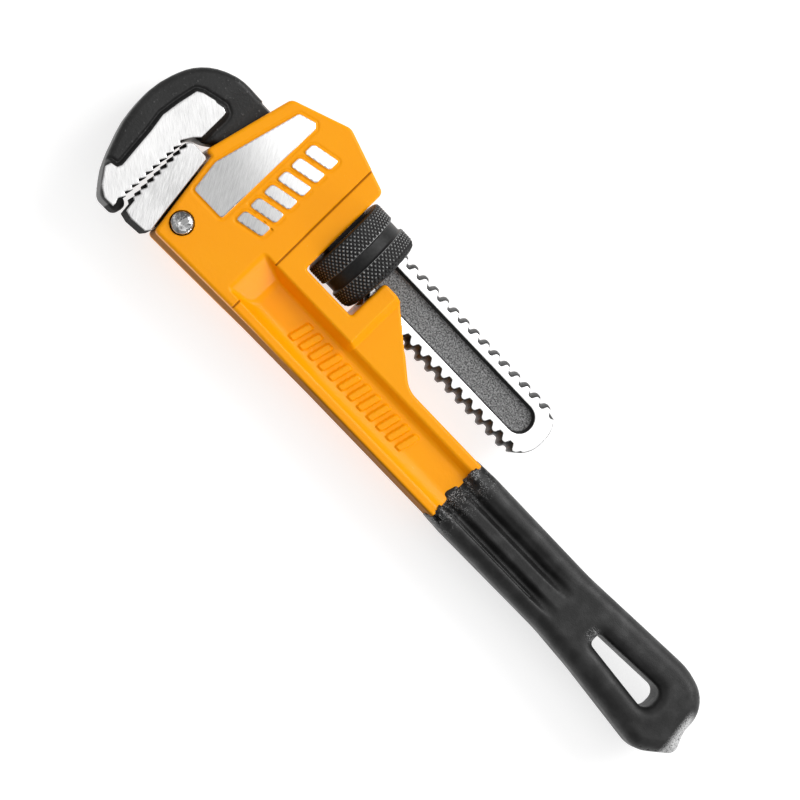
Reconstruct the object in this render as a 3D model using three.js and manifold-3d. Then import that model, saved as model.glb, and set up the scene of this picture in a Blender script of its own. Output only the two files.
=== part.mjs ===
// Pipe wrench, lying on its side. Lengths in millimetres.
// Every outline is drawn from the middle of the adjusting nut: X runs along the shank towards the
// handle's end, Y from the handle towards the shank, Z through the thickness.
// The whole wrench is then moved so that the origin is under the middle of its bounding box.
import * as THREE from "three";
import { mergeVertices } from "three/addons/utils/BufferGeometryUtils.js";
import Module from "manifold-3d";

const wasm = await Module();
wasm.setup();

// ---------- sizes ----------
// hook jaw
const threadR = 11.2; // crest radius of the shank's thread
const threadDepth = 1.7;
const threadPitch = 5.08; // five threads to the inch
const threadStartX = -14;
const shankHalf = 5.6; // half thickness between the shank's flat sides
const shankEndX = 88.4;
const neckX = -66; // where the shank leaves the hooked head
const pocketHalfWidth = 5.4;
const pocketFloorZ = 3;
const pocketEndX = 82;
const jawHalf = 8.5; // half thickness of both jaws at the teeth
const rimHalf = 7.4; // half thickness of the hooked head's rounded rim
const rimRound = 1.8;
const jawOuterX = -91.2;
const jawBottomY = -51;
const toothPitch = 3.14;
const toothCount = 9;
const hookToothDepth = 1.5;
const heelToothDepth = 1.2;
const hookToothY = -19.75; // first tip
const heelToothY = -18.2; // first tip
const hookTipX = -69.15;
const hookTipDrift = -1; // how far the last tip lies from the first, along X
const heelTipDrift = 1.5;
const hookRootShare = 0.75; // the hook's teeth lean up, into the throat
const heelRootShare = 0.2; // the heel's teeth lean down
const biteGap = 0.3; // left between the first pair of teeth when the jaws are closed
// adjusting nut
const nutR = 16.2;
const nutHalf = 9.6;
const nutGrooveHalf = 2;
const nutGrooveDepth = 0.9;
const threadClear = 0.35; // all round the thread's profile
// cast handle
const headHalf = 10.8;
const groundLift = 0.3; // ground pad, above the head's cast side
const frameHalf = 10.4;
const frameStartX = -19.2;
const frameEndMargin = 6; // from the window to the ramp
const frameRampX = 3;
const railHalf = 6.8;
const webHalf = 3.6;
const recessX = -14; // where the handle's recess starts, at its floor
const nutEndPlay = 1.4; // each end of the nut, in its window
const nutFloorGap = 2.1; // under the nut, in its window
const railTopDrop = 2.7; // from the window's floor down to the top of the handle's rail
const handleDepth = 24.3; // over both rails
const headBottomY = -46.3;
const castBevel = 1.1;
const slideClear = 0.4; // round the shank in its channel
const rockDeg = 2.5; // how far the shank rocks about the nut
const springRoom = 9.4; // over the shank, for the springs
const topWall = 5; // over the springs
const heelTongueHalf = 4.5;
const fit = 0.3; // between pieces that rest in each other
// pin of the heel jaw
const pinX = -50.9;
const pinY = -37.9;
const pinR = 2.9;
const pinHeadR = 4.2;
const pinHeadHeight = 1.4;
// springs
const springX = -34;
const leafHalfLength = 15.5;
const leafHalfWidth = 4.5;
const leafThickness = 0.9;
const leafRise = 1.1;
const coilR = 3.2; // to the middle of the wire
const coilWireR = 0.6;
const coilTurns = 3;
const rivetStemR = 1.2;
const rivetHeadR = 2.1;
const rivetHeadHeight = 0.8;
const rivetButtonHeight = 1.3;
// dipped grip
const gripStartX = 76;
const gripSkin = 0.9;
const gripFit = 0.2;
const gripRound = 3;
const gripEndX = 198.2;
const grooveHalfWidth = 1.1;
const grooveDepth = 1.6;
const grooveUpY = 2.8; // of the grooves, from the middle of the handle
const grooveDownY = 5.5;
const slotLength = 30.6; // hanging slot
const slotEndMargin = 17.6; // from the slot to the grip's end

// ---------- sizes that follow from the others ----------
const windowX = nutHalf + nutEndPlay;
const frameEndX = windowX + frameEndMargin;
const windowFloorY = -(nutR + nutFloorGap);
const railTopY = windowFloorY - railTopDrop;
const railBottomY = railTopY - handleDepth;
const channelR = threadR + slideClear;
const channelHalf = shankHalf + slideClear;
const rockSlope = Math.tan(THREE.MathUtils.degToRad(rockDeg + 0.3));
const springCeilingY = threadR + springRoom;
const headTopY = springCeilingY + topWall;
const gripGrow = gripSkin + gripFit;
const gripHalf = railHalf + gripGrow;
const middleY = (railTopY + railBottomY) / 2;
const waistX = gripStartX + 0.47 * (gripEndX - gripStartX); // narrowest place of the grip
const gripTopY = railTopY + gripGrow;
const gripBottomY = railBottomY - gripGrow;

const far = 300; // past every edge of the wrench

// ---------- building blocks ----------
// A closed three.js geometry as a solid for cutting and joining.
function solid(geometry) {
  const bare = new THREE.BufferGeometry();
  const flat = geometry.index ? geometry.toNonIndexed() : geometry;
  bare.setAttribute("position", flat.getAttribute("position"));
  const merged = mergeVertices(bare, 1e-4);
  const mesh = new wasm.Mesh({
    numProp: 3,
    vertProperties: merged.getAttribute("position").array,
    triVerts: new Uint32Array(merged.index.array),
  });
  return new wasm.Manifold(mesh);
}

// A named mesh from a solid.
function part(name, body, material) {
  const got = body.getMesh();
  const geometry = new THREE.BufferGeometry();
  const points = new Float32Array(got.numVert * 3);
  for (let i = 0; i < got.numVert; i++)
    for (let k = 0; k < 3; k++)
      points[3 * i + k] = got.vertProperties[got.numProp * i + k];
  geometry.setAttribute("position", new THREE.BufferAttribute(points, 3));
  geometry.setIndex(new THREE.BufferAttribute(new Uint32Array(got.triVerts), 1));
  const flat = geometry.toNonIndexed();
  flat.computeVertexNormals();
  const made = new THREE.Mesh(flat, material);
  made.name = name;
  return made;
}

function metal(color, roughness, metalness) {
  return new THREE.MeshStandardMaterial({ color, roughness, metalness });
}

// Corners [x, y, radius] as a closed outline whose corners are rounded off.
// grow moves every edge outwards; a rounded corner stays concentric.
function rounded(corners, grow = 0) {
  const n = corners.length;
  let area = 0;
  for (let i = 0; i < n; i++) {
    const [ax, ay] = corners[i];
    const [bx, by] = corners[(i + 1) % n];
    area += ax * by - bx * ay;
  }
  const turn = Math.sign(area);
  const edges = corners.map(([ax, ay], i) => {
    const [bx, by] = corners[(i + 1) % n];
    const way = new THREE.Vector2(bx - ax, by - ay).normalize();
    const out = new THREE.Vector2(way.y * turn, -way.x * turn);
    return { at: new THREE.Vector2(ax, ay).addScaledVector(out, grow), way };
  });
  const shape = new THREE.Shape();
  for (let i = 0; i < n; i++) {
    const a = edges[(i + n - 1) % n];
    const b = edges[i];
    const cross = a.way.cross(b.way);
    const span = b.at.clone().sub(a.at);
    const corner = a.at.clone().addScaledVector(a.way, span.cross(b.way) / cross);
    const bend = Math.sign(cross);
    const r = (corners[i][2] || 0) + (corners[i][2] ? grow * bend * turn : 0);
    if (r <= 0.01) {
      if (i) shape.lineTo(corner.x, corner.y);
      else shape.moveTo(corner.x, corner.y);
      continue;
    }
    const angle = Math.acos(THREE.MathUtils.clamp(a.way.dot(b.way), -1, 1));
    const reach = r * Math.tan(angle / 2);
    const from = corner.clone().addScaledVector(a.way, -reach);
    const side = new THREE.Vector2(-a.way.y, a.way.x).multiplyScalar(bend);
    const centre = from.clone().addScaledVector(side, r);
    const start = Math.atan2(-side.y, -side.x);
    if (i) shape.lineTo(from.x, from.y);
    else shape.moveTo(from.x, from.y);
    const steps = Math.max(1, Math.round(angle / 0.3));
    for (let k = 1; k <= steps; k++) {
      const now = start + (bend * angle * k) / steps;
      shape.lineTo(centre.x + r * Math.cos(now), centre.y + r * Math.sin(now));
    }
  }
  return shape;
}

// An outline made into a slab that reaches half to each side, with its edges rounded off.
function slab(shape, half, bevel = 0, steps = 2) {
  const geometry = new THREE.ExtrudeGeometry(shape, {
    depth: 2 * (half - bevel),
    bevelEnabled: bevel > 0,
    bevelThickness: bevel,
    bevelSize: bevel,
    bevelOffset: -bevel,
    bevelSegments: steps,
    steps: 1,
    curveSegments: 1,
  });
  return solid(geometry.translate(0, 0, bevel - half));
}

function block(x0, x1, y0, y1, z0, z1) {
  const box = new THREE.BoxGeometry(x1 - x0, y1 - y0, z1 - z0);
  return solid(box.translate((x0 + x1) / 2, (y0 + y1) / 2, (z0 + z1) / 2));
}

// A four-cornered plug whose floor and mouth are rectangles [x0, x1, y0, y1] at two heights.
function plug(floor, mouth, floorZ, mouthZ) {
  const corners = ([x0, x1, y0, y1], z) => [
    new THREE.Vector3(x0, y0, z),
    new THREE.Vector3(x1, y0, z),
    new THREE.Vector3(x1, y1, z),
    new THREE.Vector3(x0, y1, z),
  ];
  let low = corners(floor, floorZ);
  let high = corners(mouth, mouthZ);
  if (mouthZ < floorZ) [low, high] = [high, low];
  const faces = [[low[0], low[3], low[2], low[1]], high];
  for (let i = 0; i < 4; i++) {
    const j = (i + 1) % 4;
    faces.push([low[i], low[j], high[j], high[i]]);
  }
  const points = faces.flatMap(([a, b, c, d]) => [a, b, c, a, c, d]);
  return solid(new THREE.BufferGeometry().setFromPoints(points));
}

// A profile [[radius, position], ...] turned about the axis; the axis is then laid along way.
function turned(profile, sides, way) {
  const points = profile.map(([r, h]) => new THREE.Vector2(r, h));
  const geometry = new THREE.LatheGeometry(points, sides);
  const up = new THREE.Vector3(0, 1, 0);
  const lie = new THREE.Quaternion().setFromUnitVectors(up, way);
  return solid(geometry.applyQuaternion(lie));
}

const alongX = new THREE.Vector3(1, 0, 0);
const alongY = new THREE.Vector3(0, 1, 0);
const alongZ = new THREE.Vector3(0, 0, 1);

// A threaded rod along X. The four corners of the thread's section are swept round the helix, so the
// crest and the flanks follow it exactly. clear grows the section on every side.
function threadedRod(x0, x1, clear) {
  const sides = 36;
  const rootR = threadR - threadDepth + clear;
  const crestR = threadR + clear;
  const wide = clear / threadPitch;
  const section = [
    [-0.33 - wide, rootR],
    [-0.13 - wide, crestR],
    [0.13 + wide, crestR],
    [0.33 + wide, rootR],
  ];
  const turns = Math.ceil((x1 - x0) / threadPitch) + 3;
  const rows = 4 * turns;
  const firstX = (Math.floor(x0 / threadPitch) - 1) * threadPitch;
  const at = (i, j) => {
    const [share, r] = section[j % 4];
    const angle = (2 * Math.PI * i) / sides;
    const x = firstX + threadPitch * (Math.floor(j / 4) + share + i / sides);
    return new THREE.Vector3(x, r * Math.cos(angle), r * Math.sin(angle));
  };
  const columns = [];
  for (let i = 0; i < sides; i++) {
    const last = i === 0 ? rows + 4 : rows;
    columns.push(Array.from({ length: last + 1 }, (_, j) => at(i, j)));
  }
  const points = [];
  for (let i = 0; i < sides; i++)
    for (let j = 0; j < rows; j++) {
      const wraps = i === sides - 1;
      const next = wraps ? columns[0] : columns[i + 1];
      const k = wraps ? j + 4 : j;
      const [a, b, c, d] = [columns[i][j], next[k], next[k + 1], columns[i][j + 1]];
      points.push(a, b, c, a, c, d);
    }
  const cap = (ring, axisX, flip) => {
    const hub = new THREE.Vector3(axisX, 0, 0);
    ring.forEach((p, i) => {
      const q = ring[(i + 1) % ring.length];
      points.push(hub, ...(flip ? [q, p] : [p, q]));
    });
  };
  const low = [4, 3, 2, 1].map((j) => columns[0][j]);
  const high = [0, 1, 2, 3].map((k) => columns[0][rows + 4 - k]);
  cap([...low, ...columns.map((c) => c[0])], firstX - threadPitch, true);
  cap([...high, ...columns.map((c) => c[rows])], at(0, rows).x + 2 * threadPitch, false);
  const long = solid(new THREE.BufferGeometry().setFromPoints(points));
  return long.intersect(block(x0, x1, -far, far, -far, far));
}

// The saw teeth of a jaw as outline corners, from the first tip downwards: each tip, then the root
// below it. side is -1 where the roots lie at smaller X than the tips; rootShare is how far down a
// root lies from its tip, as a share of the pitch, so it sets which way the teeth lean.
function teeth(tipX, tipY, drift, depth, side, rootShare) {
  const corners = [];
  for (let i = 0; i < toothCount; i++) {
    const x = tipX + (drift * i) / toothCount;
    const y = tipY - toothPitch * i;
    corners.push([x, y]);
    corners.push([x + side * depth, y - rootShare * toothPitch]);
  }
  return corners;
}

// ---------- the pieces ----------
// Hooked head and threaded shank, forged in one.
function hookJaw() {
  const rootX = hookTipX - hookToothDepth;
  const rim = rounded([
    [neckX + 2, threadR, 0],
    [-71.5, threadR, 22],
    [-84.6, 5, 20],
    [jawOuterX, -12, 32],
    [jawOuterX + 1.6, -27, 34],
    [-83, -42.5, 30],
    [-76, jawBottomY, 4],
    [-67.9, jawBottomY, 2.4],
    [-67.9, -46.2, 2],
    [rootX - 0.8, -45.6, 0],
    [rootX - 0.8, -15.6, 0],
    [neckX + 1.4, -threadR - 2.2, 2.2],
    [neckX + 2, -threadR + 0.5, 0],
  ]);
  const pad = new THREE.Shape();
  const face = teeth(hookTipX, hookToothY, hookTipDrift, hookToothDepth, -1, hookRootShare);
  const outline = [
    [-78.2, -3.6],
    [-76.6, -2.6],
    [-68.6, -0.5],
    [-66.9, -1.2],
    [-66.5, -2.6],
    [-66.5, -12.9],
    [-68.6, -15.2],
    [rootX, hookToothY + 0.25 * toothPitch],
    ...face,
    [hookTipX - 1.3, -49],
    [-70.4, -50.4],
    [-74.6, -50.4],
    [-78.2, -48.2],
    [-82, -42.8],
    [-81.4, -41.2],
    [-78.6, -40.6],
    [-77.7, -38.6],
    [-79.2, -23.8],
    [-80.3, -17],
    [-79.5, -10.4],
  ];
  outline.forEach(([x, y], i) => (i ? pad.lineTo(x, y) : pad.moveTo(x, y)));
  const head = slab(rim, rimHalf, rimRound, 3).add(slab(pad, jawHalf));

  const r = threadR;
  const profile = [
    [neckX - 6, -r, 0],
    [shankEndX, -r, 10],
    [shankEndX, r, 10],
    [neckX - 6, r, 0],
  ];
  const blank = slab(rounded(profile), shankHalf);
  const neck = turned([[0, neckX - 4], [r, neckX - 4], [r, threadStartX],
    [0, threadStartX]], 36, alongX);
  const screw = threadedRod(threadStartX - 0.01, shankEndX + 1, 0);
  let shank = neck.add(screw).intersect(blank);
  for (const side of [1, -1]) {
    const mouth = [-8, pocketEndX, -pocketHalfWidth, pocketHalfWidth];
    const outlineAt = ([x0, x1, y0, y1], grow) =>
      rounded([
        [x0 - grow, y0 - grow, 1],
        [x1 + grow, y0 - grow, 5.2],
        [x1 + grow, y1 + grow, 5.2],
        [x0 - grow, y1 + grow, 1],
      ]);
    const depth = shankHalf - pocketFloorZ;
    const cut = new THREE.ExtrudeGeometry(outlineAt(mouth, 0), {
      depth: depth + 1,
      bevelEnabled: true,
      bevelThickness: depth,
      bevelSize: 0.9,
      bevelOffset: -0.9,
      bevelSegments: 1,
      curveSegments: 1,
    }).translate(0, 0, shankHalf);
    if (side < 0) cut.rotateX(Math.PI);
    shank = shank.subtract(solid(cut));
  }
  return part("hook_jaw", head.add(shank), metal(0x3a3a3a, 0.5, 0.8));
}

// Knurled nut: two wide rings with a plain groove between them, threaded right through.
function adjustingNut() {
  const g = nutGrooveHalf;
  const low = nutR - nutGrooveDepth;
  const bore = threadR - threadDepth - 1;
  const profile = [
    [bore, -nutHalf],
    [nutR - 1, -nutHalf],
    [nutR, -nutHalf + 0.8],
    [nutR, -g - 0.5],
    [low, -g],
    [low, g],
    [nutR, g + 0.5],
    [nutR, nutHalf - 2.6],
    [nutR - 0.7, nutHalf - 1],
    [nutR - 2.6, nutHalf],
    [bore, nutHalf],
    [bore, -nutHalf],
  ];
  const screw = threadedRod(-nutHalf - 1, nutHalf + 1, threadClear);
  const made = turned(profile, 60, alongX).subtract(screw);
  return part("adjusting_nut", made, metal(0x4a4a4c, 0.5, 0.9));
}

// Outline of the whole grip; grow moves it outwards.
function gripOutline(grow) {
  return rounded(
    [
      [gripStartX - 8, gripTopY, 0],
      [waistX, gripTopY - 0.3, 90],
      [gripEndX - 17, gripTopY + 2.5, 25],
      [gripEndX - 2.6, gripTopY - 1.6, 12.5],
      [gripEndX - 2.6, middleY - 1, 10],
      [gripEndX + 0.6, middleY - 8.4, 3.6],
      [gripEndX - 11, gripBottomY - 4.3, 11],
      [waistX + 18, gripBottomY - 0.5, 60],
      [waistX, gripBottomY + 0.7, 60],
      [gripStartX - 8, gripBottomY, 0],
    ],
    grow,
  );
}

function hangHole(grow) {
  const outer = gripEndX - slotEndMargin;
  const inner = outer - slotLength;
  return rounded(
    [
      [inner, middleY + 1.7, 1.9],
      [outer, middleY + 3.4, 3.6],
      [outer, middleY - 6, 3.6],
      [inner, middleY - 3.1, 1.9],
    ],
    grow,
  );
}

// The two long grooves on each side of the grip; grow makes them wider, longer and deeper.
function gripGrooves(grow) {
  const made = [];
  for (const y of [middleY + grooveUpY, middleY - grooveDownY])
    for (const side of [1, -1]) {
      const half = grooveHalfWidth + grow;
      const x0 = gripStartX + 5 - grow;
      const x1 = waistX - 1 + grow;
      const floorZ = gripHalf - grooveDepth - grow;
      const shape = rounded([
        [x0, y - half, 0.9 * half],
        [x1, y - half, 0.9 * half],
        [x1, y + half, 0.9 * half],
        [x0, y + half, 0.9 * half],
      ]);
      const cut = slab(shape, 6).getMesh();
      const move = side * (floorZ + 6);
      for (let i = 2; i < cut.vertProperties.length; i += 3)
        cut.vertProperties[i] += move;
      made.push(new wasm.Manifold(cut));
    }
  return made;
}

// The grip's body at a distance under its skin: outline, hole and grooves together.
function gripBody(under, x0) {
  let body = slab(gripOutline(-under), gripHalf - under, gripRound - under, 3);
  body = body.intersect(block(x0, far, -far, far, -far, far));
  body = body.subtract(slab(hangHole(under), 30));
  for (const groove of gripGrooves(under)) body = body.subtract(groove);
  return body;
}

function gripSleeve() {
  const made = gripBody(0, gripStartX).subtract(gripBody(gripSkin, gripStartX - 5));
  return part("grip_sleeve", made, metal(0x222222, 0.45, 0));
}

// Everything that is cut out of the head for the shank and the springs.
function channel() {
  const shape = new THREE.Shape();
  const r = channelR;
  shape.moveTo(-80, -r);
  shape.lineTo(0, -r);
  shape.lineTo(70, -r - 70 * rockSlope);
  shape.lineTo(70, r + 30);
  shape.lineTo(-windowX, r + 30);
  shape.lineTo(-windowX, r + windowX * rockSlope);
  shape.lineTo(-80, r + 80 * rockSlope);
  shape.closePath();
  const top = springCeilingY;
  const room = rounded([
    [springX - 17.5, 4, 0],
    [springX - 17.5, top - 4.6, 2],
    [springX - 4.6, top, 1],
    [springX + 4.6, top, 1],
    [springX + 17.5, top - 4.6, 2],
    [springX + 17.5, 4, 0],
  ]);
  return slab(shape, channelHalf).add(slab(room, channelHalf));
}

// Outline of the casting, seen from its side.
function castingOutline() {
  const tabTopY = -2.2;
  const notchY = -(threadR + 4);
  return rounded([
    [-62.7, notchY, 1.3],
    [-54.9, headTopY - 7.8, 3],
    [springX, headTopY + 0.156, 4],
    [-windowX, headTopY - 7.2, 2.4],
    [-windowX, windowFloorY, 1],
    [windowX, windowFloorY, 1],
    [windowX, tabTopY, 1.6],
    [windowX + 8.6, tabTopY, 1.6],
    [windowX + 32, railTopY, 10],
    [gripStartX + 6, railTopY, 0],
    [gripStartX + 6, railBottomY, 0],
    [-10, railBottomY, 60],
    [-55.2, headBottomY, 1.6],
    [-59.9, notchY, 0.6],
  ]);
}

function pinBore(r) {
  const h = headHalf + 5;
  const profile = [[0, -h], [r, -h], [r, h], [0, h]];
  return moved(turned(profile, 24, alongZ), pinX, pinY, 0);
}

function moved(body, x, y, z) {
  const mesh = body.getMesh();
  for (let i = 0; i < mesh.vertProperties.length; i += 3) {
    mesh.vertProperties[i] += x;
    mesh.vertProperties[i + 1] += y;
    mesh.vertProperties[i + 2] += z;
  }
  return new wasm.Manifold(mesh);
}

// Long recess on each side that makes the handle an I-section, with sloping walls.
function recess(side) {
  const top = railTopY - 6.1;
  const bottom = railBottomY + 6.3;
  const mouthHalf = headHalf + 1.2;
  const lift = mouthHalf - webHalf;
  const floor = [recessX, gripStartX - 4, bottom, top];
  const mouth = [
    recessX - 1.47 * lift,
    gripStartX - 0.5,
    bottom - 0.4 * lift,
    top + 0.32 * lift,
  ];
  return plug(floor, mouth, side * webHalf, side * mouthHalf);
}

function tongue(grow) {
  return rounded([
    [-62, -21.5 + grow, 0],
    [-47, -21.5 + grow, 4],
    [-43.4 + grow, -30, 3],
    [-43.4 + grow, -43.4 - grow, 3],
    [-62, -43.4 - grow, 0],
  ]);
}

function handleBody() {
  const outline = castingOutline();
  const head = slab(outline, headHalf, castBevel).intersect(
    block(-far, frameStartX, -far, far, -far, far),
  );
  let frame = slab(outline, frameHalf, castBevel).intersect(
    block(frameStartX - 0.01, frameEndX + frameRampX, -far, far, -far, far),
  );
  const edge = frameEndX + frameRampX;
  for (const side of [1, -1]) {
    // The frame ends in a short ramp beside the window and in a long one along the lower rail.
    const ramp = (endX, length, y0, y1) => {
      const share = 4;
      const floor = [endX, far, y0, y1];
      const mouth = [endX - share * length, far, y0, y1];
      const rise = frameHalf - railHalf;
      return plug(floor, mouth, side * railHalf, side * (railHalf + share * rise));
    };
    frame = frame.subtract(ramp(edge, frameRampX, -far, far));
    frame = frame.subtract(ramp(edge, edge - frameStartX, -far, railBottomY + 8));
  }
  const rails = slab(outline, railHalf, castBevel).intersect(
    block(frameStartX, gripStartX - fit, -far, far, -far, far),
  );
  const pad = rounded([
    [-57.6, -15.6, 1.2],
    [-49.7, headTopY - 9.6, 1],
    [-43.8, headTopY - 7.7, 0.8],
    [-42.4, headTopY - 9, 0.8],
    [-42.9, -27.2, 1],
    [-56, -27.2, 1],
  ]);
  let body = head.add(frame).add(rails);
  body = body.add(slab(pad, headHalf + groundLift));
  body = body.subtract(recess(1)).subtract(recess(-1));
  body = body.add(gripBody(gripGrow, gripStartX - 0.4));
  body = body.subtract(channel());
  body = body.subtract(slab(tongue(fit), heelTongueHalf + fit));
  body = body.subtract(pinBore(pinR + fit));
  return part("handle_body", body, metal(0xf59a0c, 0.4, 0.1));
}

// Toothed insert with a tongue that the pin holds in the head.
function heelJaw() {
  const firstX = hookTipX + biteGap;
  const pad = new THREE.Shape();
  const face = teeth(firstX, heelToothY, heelTipDrift, heelToothDepth, 1, heelRootShare);
  const outline = [
    [-61, -16.2],
    [-59.9, -16.8],
    [-57.1, -38],
    [-55.8, headBottomY - 0.4],
    [-57.4, -48.4],
    [-63.5, -48.9],
    [-66.6, -48.2],
    ...face.reverse(),
    [-68, -16.6],
    [-67, -16.2],
  ];
  const grow = fit;
  outline.forEach(([x, y], i) => {
    const shift = i < 4 ? -grow : 0;
    if (i) pad.lineTo(x + shift, y);
    else pad.moveTo(x + shift, y);
  });
  let made = slab(pad, jawHalf).add(slab(tongue(0), heelTongueHalf));
  made = made.subtract(pinBore(pinR + fit));
  return part("heel_jaw", made, metal(0xb9b9b6, 0.35, 0.95));
}

// Riveted pin with a low dome on each end.
function heelJawPin() {
  const z = headHalf + fit;
  const dome = [];
  for (let i = 0; i <= 4; i++) {
    const a = (Math.PI / 2) * (i / 4);
    dome.push([pinHeadR * Math.cos(a), z + 0.4 + (pinHeadHeight - 0.4) * Math.sin(a)]);
  }
  const upper = [[pinR, z], [pinHeadR, z], ...dome];
  const lower = upper.map(([r, h]) => [r, -h]).reverse();
  const profile = [...lower, ...upper];
  profile[0][0] = 0;
  profile[profile.length - 1][0] = 0;
  const made = moved(turned(profile, 28, alongZ), pinX, pinY, 0);
  return part("heel_jaw_pin", made, metal(0xd0d0cc, 0.25, 1));
}

// Height of the leaf spring's underside: it arches over the shank and touches it at both ends.
const leafY = (x) =>
  threadR + fit + leafRise * (1 - Math.pow((x - springX) / leafHalfLength, 2));

function flatSpring() {
  const shape = new THREE.Shape();
  const steps = 12;
  const at = (i) => springX - leafHalfLength + (2 * leafHalfLength * i) / steps;
  shape.moveTo(at(0), leafY(at(0)));
  for (let i = 1; i <= steps; i++) shape.lineTo(at(i), leafY(at(i)));
  for (let i = steps; i >= 0; i--) shape.lineTo(at(i), leafY(at(i)) + leafThickness);
  shape.closePath();
  const r = rivetStemR + fit;
  const hole = turned([[0, 0], [r, 0], [r, 30], [0, 30]], 16, alongY);
  const made = slab(shape, leafHalfWidth).subtract(moved(hole, springX, 0, 0));
  return part("flat_spring", made, metal(0x6b7078, 0.35, 1));
}

// Rivet that ties the leaf spring to the coil: a flat head below and a button inside the coil.
function springRivet() {
  const under = leafY(springX) - 0.2;
  const over = leafY(springX) + leafThickness + 0.2;
  const profile = [
    [0, under - rivetHeadHeight],
    [rivetHeadR, under - rivetHeadHeight],
    [rivetHeadR, under],
    [rivetStemR, under],
    [rivetStemR, over],
    [rivetHeadR, over],
    [rivetHeadR, over + 0.6 * rivetButtonHeight],
    [0.6 * rivetHeadR, over + rivetButtonHeight],
    [0, over + rivetButtonHeight],
  ];
  const made = moved(turned(profile, 20, alongY), springX, 0, 0);
  return part("spring_rivet", made, metal(0x8a8a8a, 0.4, 1));
}

function coilSpring() {
  const low = leafY(springX) + leafThickness + fit + coilWireR;
  const high = springCeilingY - fit - coilWireR;
  class Helix extends THREE.Curve {
    getPoint(t) {
      const angle = 2 * Math.PI * coilTurns * t;
      return new THREE.Vector3(
        springX + coilR * Math.cos(angle),
        low + (high - low) * t,
        coilR * Math.sin(angle),
      );
    }
  }
  const wire = new THREE.Shape();
  for (let i = 0; i < 8; i++) {
    const a = (2 * Math.PI * i) / 8;
    const [x, y] = [coilWireR * Math.cos(a), coilWireR * Math.sin(a)];
    if (i) wire.lineTo(x, y);
    else wire.moveTo(x, y);
  }
  const geometry = new THREE.ExtrudeGeometry(wire, {
    steps: 20 * coilTurns,
    extrudePath: new Helix(),
    bevelEnabled: false,
  });
  return part("coil_spring", solid(geometry), metal(0x6b7078, 0.35, 1));
}

// ---------- the wrench ----------
const wrench = new THREE.Group();
wrench.name = "pipe_wrench";
wrench.add(
  handleBody(),
  gripSleeve(),
  heelJaw(),
  heelJawPin(),
  hookJaw(),
  adjustingNut(),
  flatSpring(),
  springRivet(),
  coilSpring(),
);
const bounds = new THREE.Box3().setFromObject(wrench);
const middle = bounds.getCenter(new THREE.Vector3());
wrench.position.set(-middle.x, -middle.y, -bounds.min.z);

export default wrench;
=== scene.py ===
# %% [markdown]
# # A pipe wrench, piece by piece
# The wrench lies on its side. Its hooked jaw and threaded shank are one forging, the handle is an
# iron casting painted orange, the heel jaw is a toothed insert held by a pin, a knurled nut moves
# the shank, and the end of the handle is dipped in black vinyl.
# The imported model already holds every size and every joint. This lesson makes the surfaces.

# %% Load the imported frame
import math

import bpy
import numpy as np
from mathutils import Matrix, Vector


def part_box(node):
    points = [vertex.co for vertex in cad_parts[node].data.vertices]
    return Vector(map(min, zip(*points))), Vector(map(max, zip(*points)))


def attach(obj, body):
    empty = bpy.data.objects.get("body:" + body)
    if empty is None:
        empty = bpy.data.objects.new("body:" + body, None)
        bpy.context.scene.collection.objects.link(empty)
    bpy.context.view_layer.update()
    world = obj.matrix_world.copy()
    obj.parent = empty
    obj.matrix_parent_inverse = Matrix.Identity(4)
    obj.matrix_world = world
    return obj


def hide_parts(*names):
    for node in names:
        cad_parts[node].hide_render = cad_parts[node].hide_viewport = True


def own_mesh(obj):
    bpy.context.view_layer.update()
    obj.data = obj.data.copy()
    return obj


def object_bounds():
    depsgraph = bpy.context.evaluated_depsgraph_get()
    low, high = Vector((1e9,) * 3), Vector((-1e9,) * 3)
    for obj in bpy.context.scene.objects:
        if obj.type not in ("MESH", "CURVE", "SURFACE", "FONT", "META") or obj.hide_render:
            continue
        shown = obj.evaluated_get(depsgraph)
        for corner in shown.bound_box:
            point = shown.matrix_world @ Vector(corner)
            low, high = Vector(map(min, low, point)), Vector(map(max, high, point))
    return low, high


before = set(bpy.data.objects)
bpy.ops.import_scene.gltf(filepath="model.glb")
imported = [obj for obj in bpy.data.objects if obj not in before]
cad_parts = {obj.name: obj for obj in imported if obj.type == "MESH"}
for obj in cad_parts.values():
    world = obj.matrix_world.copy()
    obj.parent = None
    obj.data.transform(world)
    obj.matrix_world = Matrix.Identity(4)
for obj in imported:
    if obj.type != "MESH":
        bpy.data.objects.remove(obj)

CAD_BOX = [list(corner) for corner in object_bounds()]

# %% [markdown]
# ## One set of axes for every piece
# A wrench maker measures from the adjusting nut, so every shape below is written in millimetres
# from the middle of the nut: x runs along the shank towards the end of the handle, y from the
# handle towards the shank, and z through the thickness. The nut's box in the frame says where that
# is, and one function turns such points into the frame's metres.

# %% The nut's middle, and the sizes that the frame holds
MM = 0.001
CENTRE = np.mean([list(corner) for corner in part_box("adjusting_nut")], axis=0)


def span(node):
    """Lowest and highest corner of a node, in millimetres from the middle of the nut."""
    return [(np.array(list(corner)) - CENTRE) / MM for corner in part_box(node)]


NUT_LOW, NUT_HIGH = span("adjusting_nut")
JAW_LOW, JAW_HIGH = span("hook_jaw")
GRIP_LOW, GRIP_HIGH = span("grip_sleeve")
HEEL_LOW, HEEL_HIGH = span("heel_jaw")
PIN_LOW, PIN_HIGH = span("heel_jaw_pin")
COIL_LOW, COIL_HIGH = span("coil_spring")
LEAF_UNDER = span("flat_spring")[0][1]
RIVET_FOOT, RIVET_TOP = (corner[1] for corner in span("spring_rivet"))
PIN_X, PIN_Y = (PIN_LOW[:2] + PIN_HIGH[:2]) / 2
print("nut", NUT_LOW.round(1), NUT_HIGH.round(1), "grip", GRIP_LOW.round(1), GRIP_HIGH.round(1))

# %% [markdown]
# ## The camera
# The wrench is seen from nearly overhead with a long lens, turned so that the handle runs down to
# the right. The camera looks at a point just beside the nut.

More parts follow.
